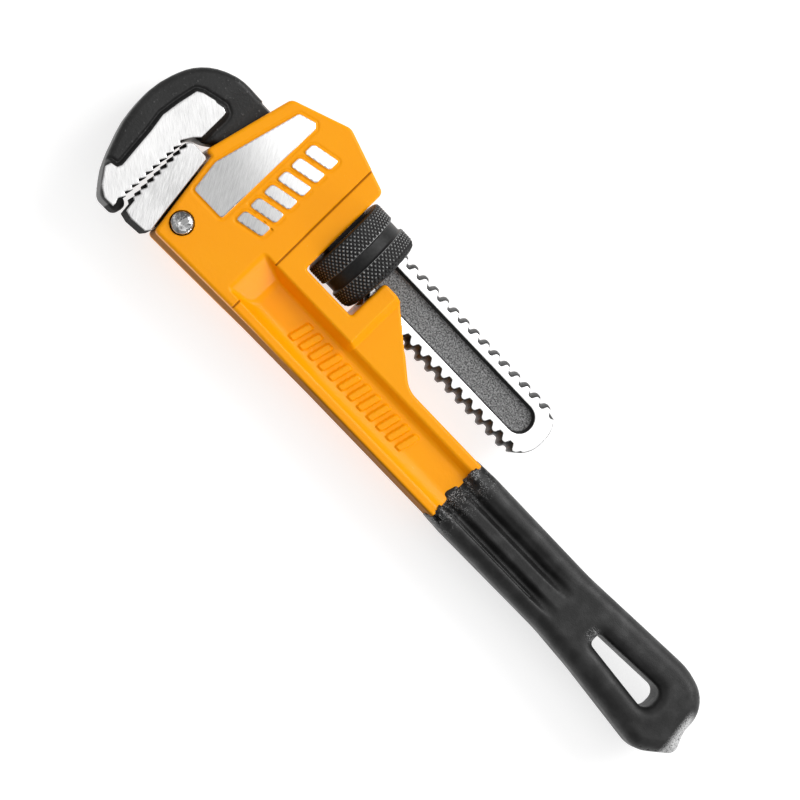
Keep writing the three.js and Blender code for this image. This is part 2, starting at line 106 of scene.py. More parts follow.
# %% Camera
AIM = CENTRE + MM * np.array([44.106, -24.651, 0.0])
AZIMUTH, ELEVATION, DISTANCE = math.radians(-44.4), math.radians(78.5), 1.0
UP_IN_VIEW = Vector((-0.71476, 0.69937, 0.0))
LENS, SENSOR = 132.35, 36.0

camera = bpy.data.objects.new("camera", bpy.data.cameras.new("camera"))
bpy.context.scene.collection.objects.link(camera)
back = Vector((
    math.cos(ELEVATION) * math.sin(AZIMUTH),
    -math.cos(ELEVATION) * math.cos(AZIMUTH),
    math.sin(ELEVATION),
))
right = UP_IN_VIEW.cross(back).normalized()
turn = Matrix((right, back.cross(right), back)).transposed()
camera.matrix_world = Matrix.Translation(Vector(AIM) + DISTANCE * back) @ turn.to_4x4()
camera.data.lens, camera.data.sensor_width = LENS, SENSOR
bpy.context.scene.camera = camera
print("camera at", [round(v, 3) for v in camera.matrix_world.translation])

# %% [markdown]
# ## Drawing outlines
# A casting or a forging seen from its side is an outline with rounded corners. An outline is kept
# as corners with a radius each; every corner becomes an arc that touches both edges. The distance
# from any point to the outline is the least distance to its edges, negative inside, where inside
# means that a ray crosses the outline an odd number of times.

# %% Outlines with rounded corners
ARC_STEP = 0.16


def outline(corners, grow=0.0):
    """Corners (x, y, radius) as points of a closed outline. Each corner is replaced by the arc of
    its radius that touches both edges. grow moves every edge outwards."""
    spots = np.array([corner[:2] for corner in corners], float)
    ways = np.roll(spots, -1, 0) - spots
    ways /= np.linalg.norm(ways, axis=1)[:, None]
    after = np.roll(spots, -1, 0)
    turning = np.sign(np.sum(spots[:, 0] * after[:, 1] - after[:, 0] * spots[:, 1]))
    outwards = np.stack([ways[:, 1], -ways[:, 0]], 1) * turning
    moved = spots + outwards * grow
    points = []
    for i, corner in enumerate(corners):
        way_in, way_out = ways[i - 1], ways[i]
        cross = way_in[0] * way_out[1] - way_in[1] * way_out[0]
        gap = moved[i] - moved[i - 1]
        along = (gap[0] * way_out[1] - gap[1] * way_out[0]) / cross
        apex = moved[i - 1] + way_in * along
        bend = np.sign(cross)
        radius = corner[2] + (grow * bend * turning if corner[2] else 0.0)
        if radius <= 0.01:
            points.append(apex[None])
            continue
        angle = math.acos(float(np.clip(way_in @ way_out, -1, 1)))
        start = apex - way_in * radius * math.tan(angle / 2)
        side = np.array([-way_in[1], way_in[0]]) * bend
        middle = start + side * radius
        steps = max(2, math.ceil(angle / ARC_STEP))
        now = math.atan2(-side[1], -side[0]) + bend * np.linspace(0, angle, steps + 1)
        points.append(middle + radius * np.stack([np.cos(now), np.sin(now)], 1))
    return np.concatenate(points)


def distance_to(points):
    """A function of x and y: the distance to the closed outline, negative inside it."""
    ends = list(zip(points, np.roll(points, -1, 0)))

    def distance(x, y):
        nearest = np.full(np.broadcast(x, y).shape, 1e9, dtype=np.result_type(x, y))
        odd = np.zeros(nearest.shape, bool)
        for (ax, ay), (bx, by) in ends:
            ex, ey = bx - ax, by - ay
            px, py = x - ax, y - ay
            share = np.clip((px * ex + py * ey) / (ex * ex + ey * ey), 0, 1)
            nearest = np.minimum(nearest, (px - share * ex) ** 2 + (py - share * ey) ** 2)
            if ey:
                odd ^= ((ay > y) != (by > y)) & (px < ex * py / ey)
        return np.where(odd, -1, 1) * np.sqrt(nearest)

    return distance


def region(corners, grow=0.0):
    """The distance function of the outline that has these corners."""
    return distance_to(outline(corners, grow))


square = region([(0, 0, 0), (10, 0, 0), (10, 10, 2), (0, 10, 0)])
print("distance at the middle of a 10 mm square:", float(square(np.array(5.0), np.array(5.0))), "mm")

# %% [markdown]
# ## Solids as fields
# Castings and forgings have no sharp corners: metal flows round every edge. Such shapes are easiest
# to write as a field, a number at every point that is the distance to the surface, negative inside
# the metal. The intersection of two fields is their maximum and the union their minimum, and near
# the seam a quarter circle takes over, which gives every edge its own radius.

# %% Joining and cutting fields, with rounded seams
def both(a, b, r):
    """Inside a and inside b, with the edge between them rounded to radius r: away from the edge
    the larger of a and b, and near it the distance to a quarter circle."""
    return np.minimum(np.maximum(a, b), -r) + np.hypot(np.maximum(a + r, 0), np.maximum(b + r, 0))


def either(a, b, r):
    """Inside a or inside b, with a fillet of radius r between them."""
    return -both(-a, -b, r)


def without(a, b, r):
    """Inside a but not inside b, with the cut's edge rounded to radius r."""
    return both(a, -b, r)


def ramp(value, low, high):
    """0 below low, 1 above high and straight between them."""
    return np.clip((value - low) / (high - low), 0, 1)


def ease(value, low, high):
    """0 below low, 1 above high and an S-curve between them."""
    t = ramp(value, low, high)
    return t * t * (3 - 2 * t)


def bar(x, y, half_x, half_y, r):
    """Distance to a rectangle about the origin whose corners are rounded to radius r."""
    dx, dy = np.abs(x) - half_x + r, np.abs(y) - half_y + r
    return np.hypot(np.maximum(dx, 0), np.maximum(dy, 0)) + np.minimum(np.maximum(dx, dy), 0) - r


print("two walls 1 mm away, edge radius 4:", round(float(both(-1.0, -1.0, 4.0)), 2), "mm")

# %% [markdown]
# ## From a field to a mesh
# The field is sampled on a grid. Every grid cell that the surface passes through gets one vertex,
# at the mean of the points where the surface crosses the cell's edges, and every grid edge that the
# surface crosses gets one quad between the four cells round it. Everything is done on whole arrays.

# %% Vertices and quads where the surface crosses the grid
COARSE = 1.0
CORNERS = [(i, j, k) for i in (0, 1) for j in (0, 1) for k in (0, 1)]


def crossing_points(value, active, shape):
    """For each active cell, the mean of the points where its twelve edges cross the surface, in
    cells from the cell's low corner."""
    total, hits = 0.0, 0.0
    at = {
        c: value[tuple(slice(o, n - 1 + o) for o, n in zip(c, shape))][active]
        for c in CORNERS
    }
    for c in CORNERS:
        for axis in range(3):
            if c[axis]:
                continue
            d = tuple(v + (k == axis) for k, v in enumerate(c))
            crosses = (at[c] < 0) != (at[d] < 0)
            share = np.where(crosses, at[c] / np.where(crosses, at[c] - at[d], 1), 0)
            point = np.tile(np.array(c, float), (len(share), 1))
            point[:, axis] += share
            total = total + point * crosses[:, None]
            hits = hits + crosses
    return total / hits[:, None]


def crossing_quads(inside, number):
    """One quad round each grid edge that the surface crosses, facing the outside end."""
    quads = []
    for axis in range(3):
        u, v = (axis + 1) % 3, (axis + 2) % 3
        low = [slice(1, -1)] * 3
        low[axis] = slice(0, -1)
        high = list(low)
        high[axis] = slice(1, None)
        starts, ends = inside[tuple(low)], inside[tuple(high)]
        change = starts != ends
        base = np.argwhere(change)
        ring = []
        for du, dv in ((0, 0), (1, 0), (1, 1), (0, 1)):
            cell = base.copy()
            cell[:, u] += du
            cell[:, v] += dv
            ring.append(number[tuple(cell.T)])
        quad = np.stack(ring, 1)
        enters = ~starts[change]
        quad[enters] = quad[enters][:, ::-1]
        quads.append(quad)
    return np.concatenate(quads)


print("a grid cell has", len(CORNERS), "corners, and its side is multiplied by", COARSE)

# %% [markdown]
# ### Onto the surface itself
# The mean of the crossings lies near the surface and seldom on it. So each vertex is slid along the
# slope of the field, three times over, and never further than half a cell at a time.

# %% Surface of a field
def settle(points, field, reach):
    """Points slid along the field's slope onto the surface: step = -value * slope / slope^2."""
    small = 0.01
    for _ in range(3):
        here = field(*points.T)
        slope = np.stack(
            [(field(*(points + small * unit).T) - here) / small for unit in np.eye(3)], 1
        )
        size = np.maximum(np.sum(slope**2, 1), 0.2)
        move = slope * (-here / size)[:, None]
        length = np.linalg.norm(move, axis=1)[:, None]
        points = points + move * np.minimum(1, reach / np.maximum(length, 1e-9))
    return points


def skin(field, low, high, cell):
    """Vertices and quads of the surface where the field is zero, between two corners."""
    cell = cell * COARSE
    axes = [
        np.arange(a - 1.6 * cell, b + 2.6 * cell, cell, dtype=np.float32)
        for a, b in zip(low, high)
    ]
    shape = tuple(len(axis) for axis in axes)
    value = field(*np.meshgrid(*axes, indexing="ij", sparse=True))
    value = np.ascontiguousarray(np.broadcast_to(value, shape), dtype=np.float32)
    inside = value < 0
    count = sum(
        inside[tuple(slice(o, n - 1 + o) for o, n in zip(c, shape))].astype(np.int8)
        for c in CORNERS
    )
    active = (count > 0) & (count < 8)
    number = np.full(active.shape, -1, np.int64)
    number[active] = np.arange(active.sum())
    first = np.array([axis[0] for axis in axes], float)
    points = (np.argwhere(active) + crossing_points(value, active, shape)) * cell + first
    return settle(points, field, 0.5 * cell), crossing_quads(inside, number)


ball = skin(lambda x, y, z: np.sqrt(x * x + y * y + z * z) - 4, (-4, -4, -4), (4, 4, 4), 1.0)
print("a ball of radius 4:", len(ball[0]), "vertices,", len(ball[1]), "quads")

# %% [markdown]
# ## Turned and swept pieces
# A pin, a rivet, a nut or a spring is a profile carried along a path, so its mesh is a plain grid:
# one row for each step of the profile and one column for each step round it. A closed profile joins
# its last row to its first, and an open one ends in a single vertex at each end.

# %% Grids of points as closed meshes
def wrap(grid, ring=False):
    """Vertices and faces of a grid (rows, columns, 3) whose columns close on themselves. ring also
    joins the last row to the first; otherwise each end is closed by a fan to its middle."""
    rows, columns = grid.shape[:2]
    number = np.arange(rows * columns).reshape(rows, columns)
    upper = np.roll(number, -1, 0) if ring else number[1:]
    lower = number if ring else number[:-1]
    across = [np.roll(a, -1, 1) for a in (lower, upper)]
    quads = np.stack([lower, across[0], across[1], upper], -1).reshape(-1, 4)
    points = grid.reshape(-1, 3)
    if ring:
        return points, [quads]
    points = np.concatenate([points, grid[:1].mean(1), grid[-1:].mean(1)])
    hub = rows * columns
    first = np.stack([np.full(columns, hub), np.roll(number[0], -1), number[0]], 1)
    last = np.stack([np.full(columns, hub + 1), number[-1], np.roll(number[-1], -1)], 1)
    return points, [quads, first, last]


spots, faces = wrap(np.zeros((3, 8, 3)))
print("3 rows of 8 columns:", len(spots), "vertices and", sum(map(len, faces)), "faces")

# %% [markdown]
# ## Putting a piece into the scene
# Two measures come first. The volume inside a mesh says whether its faces point outwards, and the
# slope of a field is the exact way out of the metal, which shades a thinned mesh without dents.

# %% Measures of a mesh
SLOPE_STEP = 0.03


def signed_volume(mesh):
    """Volume inside the mesh, negative when its faces point inwards."""
    mesh.calc_loop_triangles()
    count = len(mesh.loop_triangles)
    corners = np.empty(3 * count, np.int32)
    mesh.loop_triangles.foreach_get("vertices", corners)
    places = np.empty(3 * len(mesh.vertices))
    mesh.vertices.foreach_get("co", places)
    a, b, c = places.reshape(-1, 3)[corners.reshape(-1, 3)].transpose(1, 0, 2)
    return float(np.sum(a * np.cross(b, c)) / 6), count


def slopes(mesh, field):
    """At each vertex of the mesh the way out of the metal: the field's slope, of length 1."""
    places = np.empty(3 * len(mesh.vertices))
    mesh.vertices.foreach_get("co", places)
    points = (places.reshape(-1, 3) - CENTRE) / MM
    ways = np.stack([
        field(*(points + SLOPE_STEP * unit).T) - field(*(points - SLOPE_STEP * unit).T)
        for unit in np.eye(3)
    ], 1)
    return ways / np.maximum(np.linalg.norm(ways, axis=1), 1e-9)[:, None]


print("the slope is measured over", 2 * SLOPE_STEP, "mm")

# %% [markdown]
# ### One object for each piece
# Each finished mesh becomes one object at the origin, with its place in its vertices. It rides on a
# body, stands for a node of the imported model and takes the finish that it is given.

# %% Making an object
MOST_TRIANGLES = 190_000


def make_piece(name, shape, body, node, material, field=None):
    """A smooth-shaded object from vertices in millimetres and faces, thinned where it is flat if
    it has too many triangles. A field also gives the exact normals."""
    points, faces = shape
    groups = faces if isinstance(faces, list) else [faces]
    mesh = bpy.data.meshes.new(name)
    mesh.vertices.add(len(points))
    mesh.vertices.foreach_set("co", (CENTRE + MM * points).ravel())
    sizes = np.concatenate([np.full(len(group), group.shape[1]) for group in groups])
    corners = np.concatenate([group.ravel() for group in groups]).astype(np.int32)
    mesh.loops.add(len(corners))
    mesh.loops.foreach_set("vertex_index", corners)
    mesh.polygons.add(len(sizes))
    starts = np.concatenate([[0], np.cumsum(sizes)[:-1]]).astype(np.int32)
    mesh.polygons.foreach_set("loop_start", starts)
    mesh.update(calc_edges=True)
    mesh.validate()
    volume, count = signed_volume(mesh)
    if volume < 0:
        mesh.flip_normals()
    piece = bpy.data.objects.new(name, mesh)
    bpy.context.scene.collection.objects.link(piece)
    if count > MOST_TRIANGLES:
        thin = piece.modifiers.new("thin", "DECIMATE")
        thin.ratio = MOST_TRIANGLES / count
        graph = bpy.context.evaluated_depsgraph_get()
        piece.data = bpy.data.meshes.new_from_object(piece.evaluated_get(graph))
        piece.data.name = name
        piece.modifiers.clear()
    piece.data.shade_smooth()
    if field:
        piece.data.normals_split_custom_set_from_vertices(slopes(piece.data, field).tolist())
    piece.data.materials.clear()
    piece.data.materials.append(material)
    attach(piece, body)
    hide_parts(node)
    print(f"{name}: {count} triangles, {abs(volume) * 1e6:.2f} cm3")
    return piece


print("a piece is thinned above", MOST_TRIANGLES, "triangles")

# %% [markdown]
# ## Writing finishes as expressions
# A finish is a small program on the position of a point: a mask here, some grain there. The class
# below wraps a shader socket so that the program reads as arithmetic, and every operator adds one
# Math node.

# %% Arithmetic on sockets
class Signal:
    """A shader socket that takes part in arithmetic."""

    def __init__(self, finish, socket):
        self.finish, self.socket = finish, socket

    def math(self, operation, *others):
        """A Math node on this socket and the others."""
        return self.finish.node("ShaderNodeMath", {"operation": operation}, [self, *others])

    def __add__(self, other):
        return self.math("ADD", other)

    def __sub__(self, other):
        return self.math("SUBTRACT", other)

    def __mul__(self, other):
        return self.math("MULTIPLY", other)

    def __rsub__(self, other):
        return self.finish.node("ShaderNodeMath", {"operation": "SUBTRACT"}, [other, self])

    def __abs__(self):
        return self.math("ABSOLUTE")

    __radd__ = __add__
    __rmul__ = __mul__


# %% [markdown]
# ### One shader for each finish
# Every finish is one Principled shader. A single method makes all nodes, and the short methods after
# it name the few that the wrench needs: place, noise, step, mix and bump.

# %% Shader of a finish
class Finish:
    """A procedural material round one Principled shader."""

    def __init__(self, name, **uniform):
        self.material = bpy.data.materials.new(name)
        self.material.use_nodes = True
        self.tree = self.material.node_tree
        self.shader = self.tree.nodes["Principled BSDF"]
        self.sockets = {socket.name.lower(): socket for socket in self.shader.inputs}
        for key, value in uniform.items():
            self.sockets[key.replace("_", " ")].default_value = value

    def node(self, kind, settings, values, output=0):
        """A node of one kind: its settings first, then the value or link of each socket."""
        made = self.tree.nodes.new(kind)
        for key, value in settings.items():
            setattr(made, key, value)
        pairs = values.items() if isinstance(values, dict) else enumerate(values)
        for key, value in pairs:
            if isinstance(value, Signal):
                self.tree.links.new(value.socket, made.inputs[key])
            else:
                made.inputs[key].default_value = value
        return Signal(self, made.outputs[output])

    def place(self):
        """Position in millimetres from the middle of the nut."""
        metres = self.node("ShaderNodeTexCoord", {}, {}, "Object")
        shifted = self.node("ShaderNodeVectorMath", {"operation": "SUBTRACT"}, [metres, CENTRE])
        return self.node(
            "ShaderNodeVectorMath", {"operation": "SCALE"}, {0: shifted, "Scale": 1 / MM}
        )

    def parts(self, vector):
        """The three numbers of a vector."""
        first = self.node("ShaderNodeSeparateXYZ", {}, [vector])
        outputs = first.socket.node.outputs
        return [Signal(self, outputs[k]) for k in range(3)]

    def turned(self, vector, angle, stretch):
        """The vector turned about z by an angle and scaled along each axis."""
        spun = self.node(
            "ShaderNodeMapping", {}, {"Vector": vector, "Rotation": (0, 0, angle)}
        )
        return self.node("ShaderNodeMapping", {}, {"Vector": spun, "Scale": stretch})

    def noise(self, vector, scale, detail=2.0, roughness=0.5):
        """Soft noise from 0 to 1, scale being the number of lumps to the millimetre."""
        values = {"Vector": vector, "Scale": scale, "Detail": detail, "Roughness": roughness}
        return self.node("ShaderNodeTexNoise", {}, values)

    def step(self, value, low, high):
        """An S-curve from 0 at low to 1 at high."""
        values = {"Value": value, "From Min": low, "From Max": high}
        return self.node("ShaderNodeMapRange", {"interpolation_type": "SMOOTHSTEP"}, values)

    def mix(self, share, a, b):
        """Colour a where share is 0 and colour b where it is 1."""
        values = {0: share, 6: a, 7: b}
        return self.node("ShaderNodeMix", {"data_type": "RGBA"}, values, 2)

    def bump(self, height, distance):
        """The normal for a height from 0 to 1 that stands for a distance in millimetres."""
        values = {"Height": height, "Distance": distance * MM, "Strength": 1.0}
        return self.node("ShaderNodeBump", {}, values)

    def feed(self, **sockets):
        """Links values to sockets of the shader."""
        for key, value in sockets.items():
            self.tree.links.new(value.socket, self.sockets[key.replace("_", " ")])
        print(f"{self.material.name}: {len(self.tree.nodes)} nodes")
        return self.material


def grey(level, warmth=0.0):
    """A grey of one brightness, a little warmer or cooler."""
    return (level * (1 + warmth), level, level * (1 - warmth), 1.0)


print("a middling grey, a little warm:", grey(0.5, 0.02))

# %% [markdown]
# ## Finishes of the wrench
# Ground steel shows fine parallel scratches, so its grain is noise that is stretched a lot in one
# direction. It is used wherever a wheel has touched a casting or a forging, which is always the
# highest level of a side, so the height above the wrench's middle plane is the mask.

# %% Ground steel grain
GRAIN_STRETCH = (0.12, 3.2, 0.6)


def ground_grain(finish, place, angle, dark=0.62, light=0.98):
    """Brightness and roughness of ground steel, from two layers of stretched noise."""
    fine = finish.noise(finish.turned(place, angle, GRAIN_STRETCH), 2.2, 5.0, 0.7)
    broad = finish.noise(place, 0.05, 2.0)
    share = finish.step(fine * 0.8 + broad * 0.35, 0.30, 0.70)
    colour = finish.mix(share, grey(dark), grey(light, 0.004))
    return colour, 0.44 - fine * 0.22, fine


print("grain is", round(GRAIN_STRETCH[1] / GRAIN_STRETCH[0]), "times as long as it is wide")

# %% [markdown]
# ### Orange paint over cast iron
# The casting is dipped or sprayed after it is cast, and the pad and the raised bars are ground bare
# afterwards. So the paint covers everything below the ground level. The paint carries painted shade:
# it is darker in the groove along the step behind the head, round the pin and along the underside.
# The bare steel carries a painted reflection, darker away from its lit end.

# %% Orange paint
HEAD_HALF, STEP_X = 10.8, -19.05
GROUND_LIFT = 0.34
GROUND_FROM = HEAD_HALF + 0.62 * GROUND_LIFT
PIN_SINK_R = 4.15


def painted_casting():
    """Paint below the ground level and bare steel above it."""
    finish = Finish("orange_paint", coat_roughness=0.10, specular_ior_level=0.12)
    place = finish.place()
    x, y, z = finish.parts(place)
    side = abs(z)
    ragged = finish.noise(place, 1.1, 3.0)
    ground = finish.step(side + (ragged - 0.5) * 0.03, GROUND_FROM, GROUND_FROM + 0.05)
    cloud = finish.noise(place, 0.045, 2.0)
    paint = finish.mix(cloud, (1.0, 0.345, 0.001, 1), (1.0, 0.395, 0.001, 1))
    speck = finish.noise(place, 0.9, 1.0)
    paint = finish.mix(finish.step(speck, 0.76, 0.80) * 0.5, paint, (1.0, 0.50, 0.07, 1))
    from_pin = ((x - PIN_X) * (x - PIN_X) + (y - PIN_Y) * (y - PIN_Y)).math("SQRT")
    below = 1 - finish.step(side, HEAD_HALF - 0.2, HEAD_HALF)
    # painted shade: near black paint round the pin, in the sink below the head's level
    pin_sink_shade = (1 - finish.step(from_pin, PIN_SINK_R, PIN_SINK_R + 0.2)) * below
    paint = finish.mix(pin_sink_shade, paint, grey(0.012))
    # painted shade: a dark line along the foot of the step behind the head
    foot = (1 - finish.step(abs(x - STEP_X), 0.15, 0.55)) * finish.step(side, 9.5, 9.8)
    paint = finish.mix(foot * 0.75, paint, (0.22, 0.05, 0.0, 1))
    # painted shade: darker paint along the lower side, below the rails
    underside_shade = finish.step(y, -44.4, -45.0) * (1 - finish.step(side, 6.0, 8.6))
    paint = finish.mix(underside_shade * 0.8, paint, (0.15, 0.05, 0.003, 1))
    steel, steel_rough, grain = ground_grain(finish, place, 1.05)
    # painted reflection: the bare steel is painted darker away from its lit end
    lit_end = finish.step(0.35 * x + y, -36, 2)
    steel = finish.mix(lit_end, finish.mix(grain, grey(0.16), grey(0.62)), steel)
    peel = finish.noise(place, 0.55, 2.0) + 0.25 * finish.noise(place, 2.4, 2.0)
    height = peel * (1 - ground) + grain * ground * 0.3
    return finish.feed(
        base_color=finish.mix(ground, paint, steel),
        metallic=ground,
        roughness=(0.27 + 0.10 * speck + 0.5 * underside_shade) * (1 - ground) + steel_rough * ground,
        coat_weight=(1 - ground) * 0.04,
        normal=finish.bump(height, 0.07),
    )


PAINT = painted_casting()

# %% [markdown]
# ### Black dipped vinyl
# Vinyl is nearly black and full of fine pores. Dust sits in the pores where the coat starts. A pale
# streak along the end of the handle and pale pores just before the slot are painted highlights.

# %% Black dipped vinyl
SLOT_START = GRIP_HIGH[0] - 49.5


def dipped_vinyl():
    """Near black, with dust in the pores and painted highlights at the end and before the slot."""
    finish = Finish("dipped_vinyl", specular_ior_level=0.35)
    place = finish.place()
    x, y, z = finish.parts(place)
    lumps = finish.noise(place, 0.35, 3.0)
    pores = finish.noise(place, 2.6, 2.0)
    start = 1 - finish.step(x, GRIP_LOW[0] + 3, GRIP_LOW[0] + 16)
    dust = finish.step(pores, 0.50, 0.66)
    dusty = dust * start * finish.step(lumps, 0.40, 0.55)
    across = y - (GRIP_LOW[1] + GRIP_HIGH[1]) / 2
    # painted highlight: a pale streak along the end of the handle
    edge = x + 0.12 * across + 1.4 * pores - GRIP_HIGH[0]
    end_highlight = finish.step(edge, -6.2, -3.4) * (1 - finish.step(across, 2.0, 8.0))
    end_highlight = end_highlight * finish.step(pores, 0.30, 0.55) * finish.step(abs(z), 2.2, 4.4)
    # painted highlight: pale dusty pores just before the slot
    slot_highlight = 1 - finish.step(abs(x - SLOT_START), 1.2, 4.2)
    slot_highlight = slot_highlight * (1 - finish.step(abs(across), 0.8, 3.6))
    # share of pale grey: dust, and the painted highlights at the end and before the slot
    light = (dusty * 0.55 + end_highlight * 0.9 + slot_highlight * dust * 0.5).math("MINIMUM", 1.0)
    blotch = finish.step(finish.noise(place, 0.16, 3.0), 0.42, 0.70)
    black = finish.mix(blotch, grey(0.010), grey(0.024))
    return finish.feed(
        base_color=finish.mix(light, black, grey(0.62)),
        roughness=0.40 + 0.16 * pores - 0.08 * blotch,
        normal=finish.bump(pores * 0.4 + lumps * 0.6, 0.16),
    )


VINYL = dipped_vinyl()

# %% [markdown]
# ### Black forging with ground faces
# The hook comes from the forge with a black scale. Only the pad round the teeth and the two flats of
# the shank are ground, so both are masks on the height. The pocket in each flat stays rough, and
# the gap between the teeth is deep and dull, with painted shade near black.

# %% Black forging with ground faces
PAD_HALF = 8.5
SHANK_HALF = 5.6
POCKET_Z, POCKET_END, POCKET_WIDE = 3.0, 82.0, 5.4


def black_forging():
    """Scale, bare steel on the pad and the flats, and a gritty pocket."""
    finish = Finish("black_forging", specular_ior_level=0.3)
    place = finish.place()
    x, y, z = finish.parts(place)
    side = abs(z)
    on_head = 1 - finish.step(x, -66.4, -66.0)
    pad = finish.step(side, PAD_HALF - 0.10, PAD_HALF - 0.05) * on_head
    flat = finish.step(side, SHANK_HALF - 0.09, SHANK_HALF - 0.04) * finish.step(x, -9.4, -9.0)
    ground = pad + flat
    scale = finish.noise(place, 0.8, 4.0, 0.65)
    cloud = finish.noise(place, 0.10, 2.0)
    black = finish.mix(cloud, grey(0.012), grey(0.028))
    black = finish.mix(finish.step(scale, 0.60, 0.74), black, grey(0.09))
    pocket = 1 - finish.step(side, POCKET_Z + 0.25, POCKET_Z + 0.7)
    pocket = pocket * (1 - on_head) * (1 - finish.step(abs(y), 4.9, 5.3))
    pocket = pocket * (1 - finish.step(x, POCKET_END - 0.4, POCKET_END))
    grit = finish.noise(place, 1.7, 3.0, 0.7)
    gritty = finish.mix(finish.step(grit, 0.36, 0.66), grey(0.05), grey(0.32))
    dark = finish.mix(pocket, black, gritty)
    steel, steel_rough, grain = ground_grain(finish, place, 0.62, 0.40, 0.78)
    steel = finish.mix(on_head, grey(0.97), steel)
    # painted shade: near black in the gap between the teeth
    gap_shade = finish.step(x, -72.4, -71.8) * (1 - finish.step(x, -68.6, -68.2))
    gap_shade = gap_shade * finish.step(y, -17, -19) * (1 - ground)
    dark = finish.mix(gap_shade, dark, grey(0.006))
    height = (scale * (1 - pocket) + grit * pocket) * (1 - ground) + grain * ground * 0.2
    return finish.feed(
        base_color=finish.mix(ground, dark, steel),
        metallic=0.2 + ground * 0.8,
        roughness=(0.46 - 0.14 * cloud + 0.45 * gap_shade) * (1 - ground) + steel_rough * ground,
        normal=finish.bump(height, 0.16),
    )


FORGING = black_forging()

# %% [markdown]
# ### Ground steel of the heel jaw
# The two wide faces of the heel jaw are ground bright. Everything between them is left dark.

# %% Ground steel of the heel jaw
def heel_steel():
    """Bright on the two wide faces and dark between them."""
    finish = Finish("heel_steel", specular_ior_level=0.1)
    place = finish.place()
    z = finish.parts(place)[2]
    steel, rough, grain = ground_grain(finish, place, 1.0, 0.36, 0.74)
    inner = 1 - finish.step(abs(z), PAD_HALF - 0.22, PAD_HALF - 0.06)
    return finish.feed(
        base_color=finish.mix(inner, steel, grey(0.02)),
        metallic=1 - inner,
        roughness=rough + inner * 0.5,
        normal=finish.bump(grain, 0.02),
    )


HEEL_STEEL = heel_steel()

# %% [markdown]
# ### Knurled nut, pin and springs
# The nut is blackened before use. Its knurled tips wear bright and also carry a painted highlight,
# so the mask is the distance from the nut's axis. The pin is peened and uneven, and the springs keep
# the blue grey of tempering.

# %% Knurled nut, pin and springs
NUT_R = NUT_HIGH[2]


def knurled_steel():
    """Blackened steel whose knurled tips are bright, partly worn and partly a painted highlight."""
    finish = Finish("knurled_steel", specular_ior_level=0.35)
    place = finish.place()
    _, y, z = finish.parts(place)
    radius = (y * y + z * z).math("SQRT")
    # wear and painted highlight: the knurled tips are painted bright grey
    tips = finish.step(radius, NUT_R - 0.34, NUT_R - 0.10)
    cloud = finish.noise(place, 0.9, 3.0)
    black = finish.mix(cloud, grey(0.012), grey(0.030))
    return finish.feed(
        base_color=finish.mix(tips * (0.25 + 0.6 * cloud), black, grey(0.40)),
        metallic=0.5 + 0.4 * tips,
        roughness=0.44 - 0.10 * tips,
        normal=finish.bump(cloud, 0.03),
    )


KNURL = knurled_steel()


def polished_steel():
    """Peened steel that shines unevenly."""
    finish = Finish("polished_steel", metallic=1.0)
    place = finish.place()
    lumps = finish.noise(place, 0.45, 2.0)
    tone = finish.mix(finish.step(lumps, 0.35, 0.65), grey(0.22), grey(0.66))
    return finish.feed(
        base_color=tone,
        roughness=0.16 + 0.10 * lumps,
        normal=finish.bump(lumps, 0.5),
    )


POLISHED = polished_steel()


def spring_steel():
    """Tempered steel, smooth and blue grey."""
    finish = Finish("spring_steel", metallic=1.0)
    place = finish.place()
    temper = finish.noise(place, 0.3, 2.0)
    tone = finish.mix(temper, (0.16, 0.18, 0.22, 1), (0.34, 0.34, 0.36, 1))
    return finish.feed(
        base_color=tone,
        roughness=0.26 + 0.14 * temper,
        normal=finish.bump(finish.noise(place, 1.5, 2.0), 0.02),
    )


SPRING = spring_steel()

# %% [markdown]
# ## The dipped grip
# The end of the handle is warmed and dipped in liquid vinyl, which covers it like a skin of a
# little over 1 mm, softens every edge and ends in a wavy line. The handle below is an I-section, so
# two long troughs with a rib between them show through the vinyl and fade out towards the hanging
# slot. Seen from its side the grip is one outline with another, the slot, cut out of it.

# %% Outlines of the grip
GRIP_HALF = 7.9
GRIP_SKIN, GRIP_FIT = 0.9, 0.2
RAIL_TOP, RAIL_BOTTOM = -21.0, -45.3
MIDDLE = (RAIL_TOP + RAIL_BOTTOM) / 2
GRIP_START, GRIP_END = GRIP_LOW[0], GRIP_HIGH[0] + 0.15
WAIST = GRIP_START + 0.47 * (GRIP_END - GRIP_START)
GRIP_TOP = RAIL_TOP + GRIP_SKIN + GRIP_FIT
GRIP_BOTTOM = RAIL_BOTTOM - GRIP_SKIN - GRIP_FIT
TROUGHS = (MIDDLE + 2.9, MIDDLE - 5.4)

grip_side = region([
    (GRIP_START - 12, GRIP_TOP, 0),
    (WAIST, GRIP_TOP - 0.3, 90),
    (GRIP_END - 17, GRIP_TOP + 2.5, 25),
    (GRIP_END - 2.6, GRIP_TOP - 1.6, 12.5),
    (GRIP_END - 2.6, MIDDLE - 1, 10),
    (GRIP_END + 0.6, MIDDLE - 8.4, 3.6),
    (GRIP_END - 11, GRIP_BOTTOM - 4.3, 11),
    (WAIST + 18, GRIP_BOTTOM - 0.5, 60),
    (WAIST, GRIP_BOTTOM + 0.7, 60),
    (GRIP_START - 12, GRIP_BOTTOM, 0),
])
SLOT_OUTER = GRIP_END - 18.1
SLOT_INNER = SLOT_OUTER - 30.6
slot_side = region([
    (SLOT_INNER, MIDDLE + 1.7, 1.9),
    (SLOT_OUTER, MIDDLE + 3.4, 3.6),
    (SLOT_OUTER, MIDDLE - 6, 3.6),
    (SLOT_INNER, MIDDLE - 3.1, 1.9),
])
print("grip", round(GRIP_END - GRIP_START, 1), "mm long, slot", round(SLOT_OUTER - SLOT_INNER, 1))

# %% [markdown]
# ### Thickness and skin of the grip
# The grip is a field: the outline, a thickness that changes from place to place, and the slot cut
# out of both. The skin is the space between that field and a second one a little further in, and
# the iron core inside it starts a little deeper still.

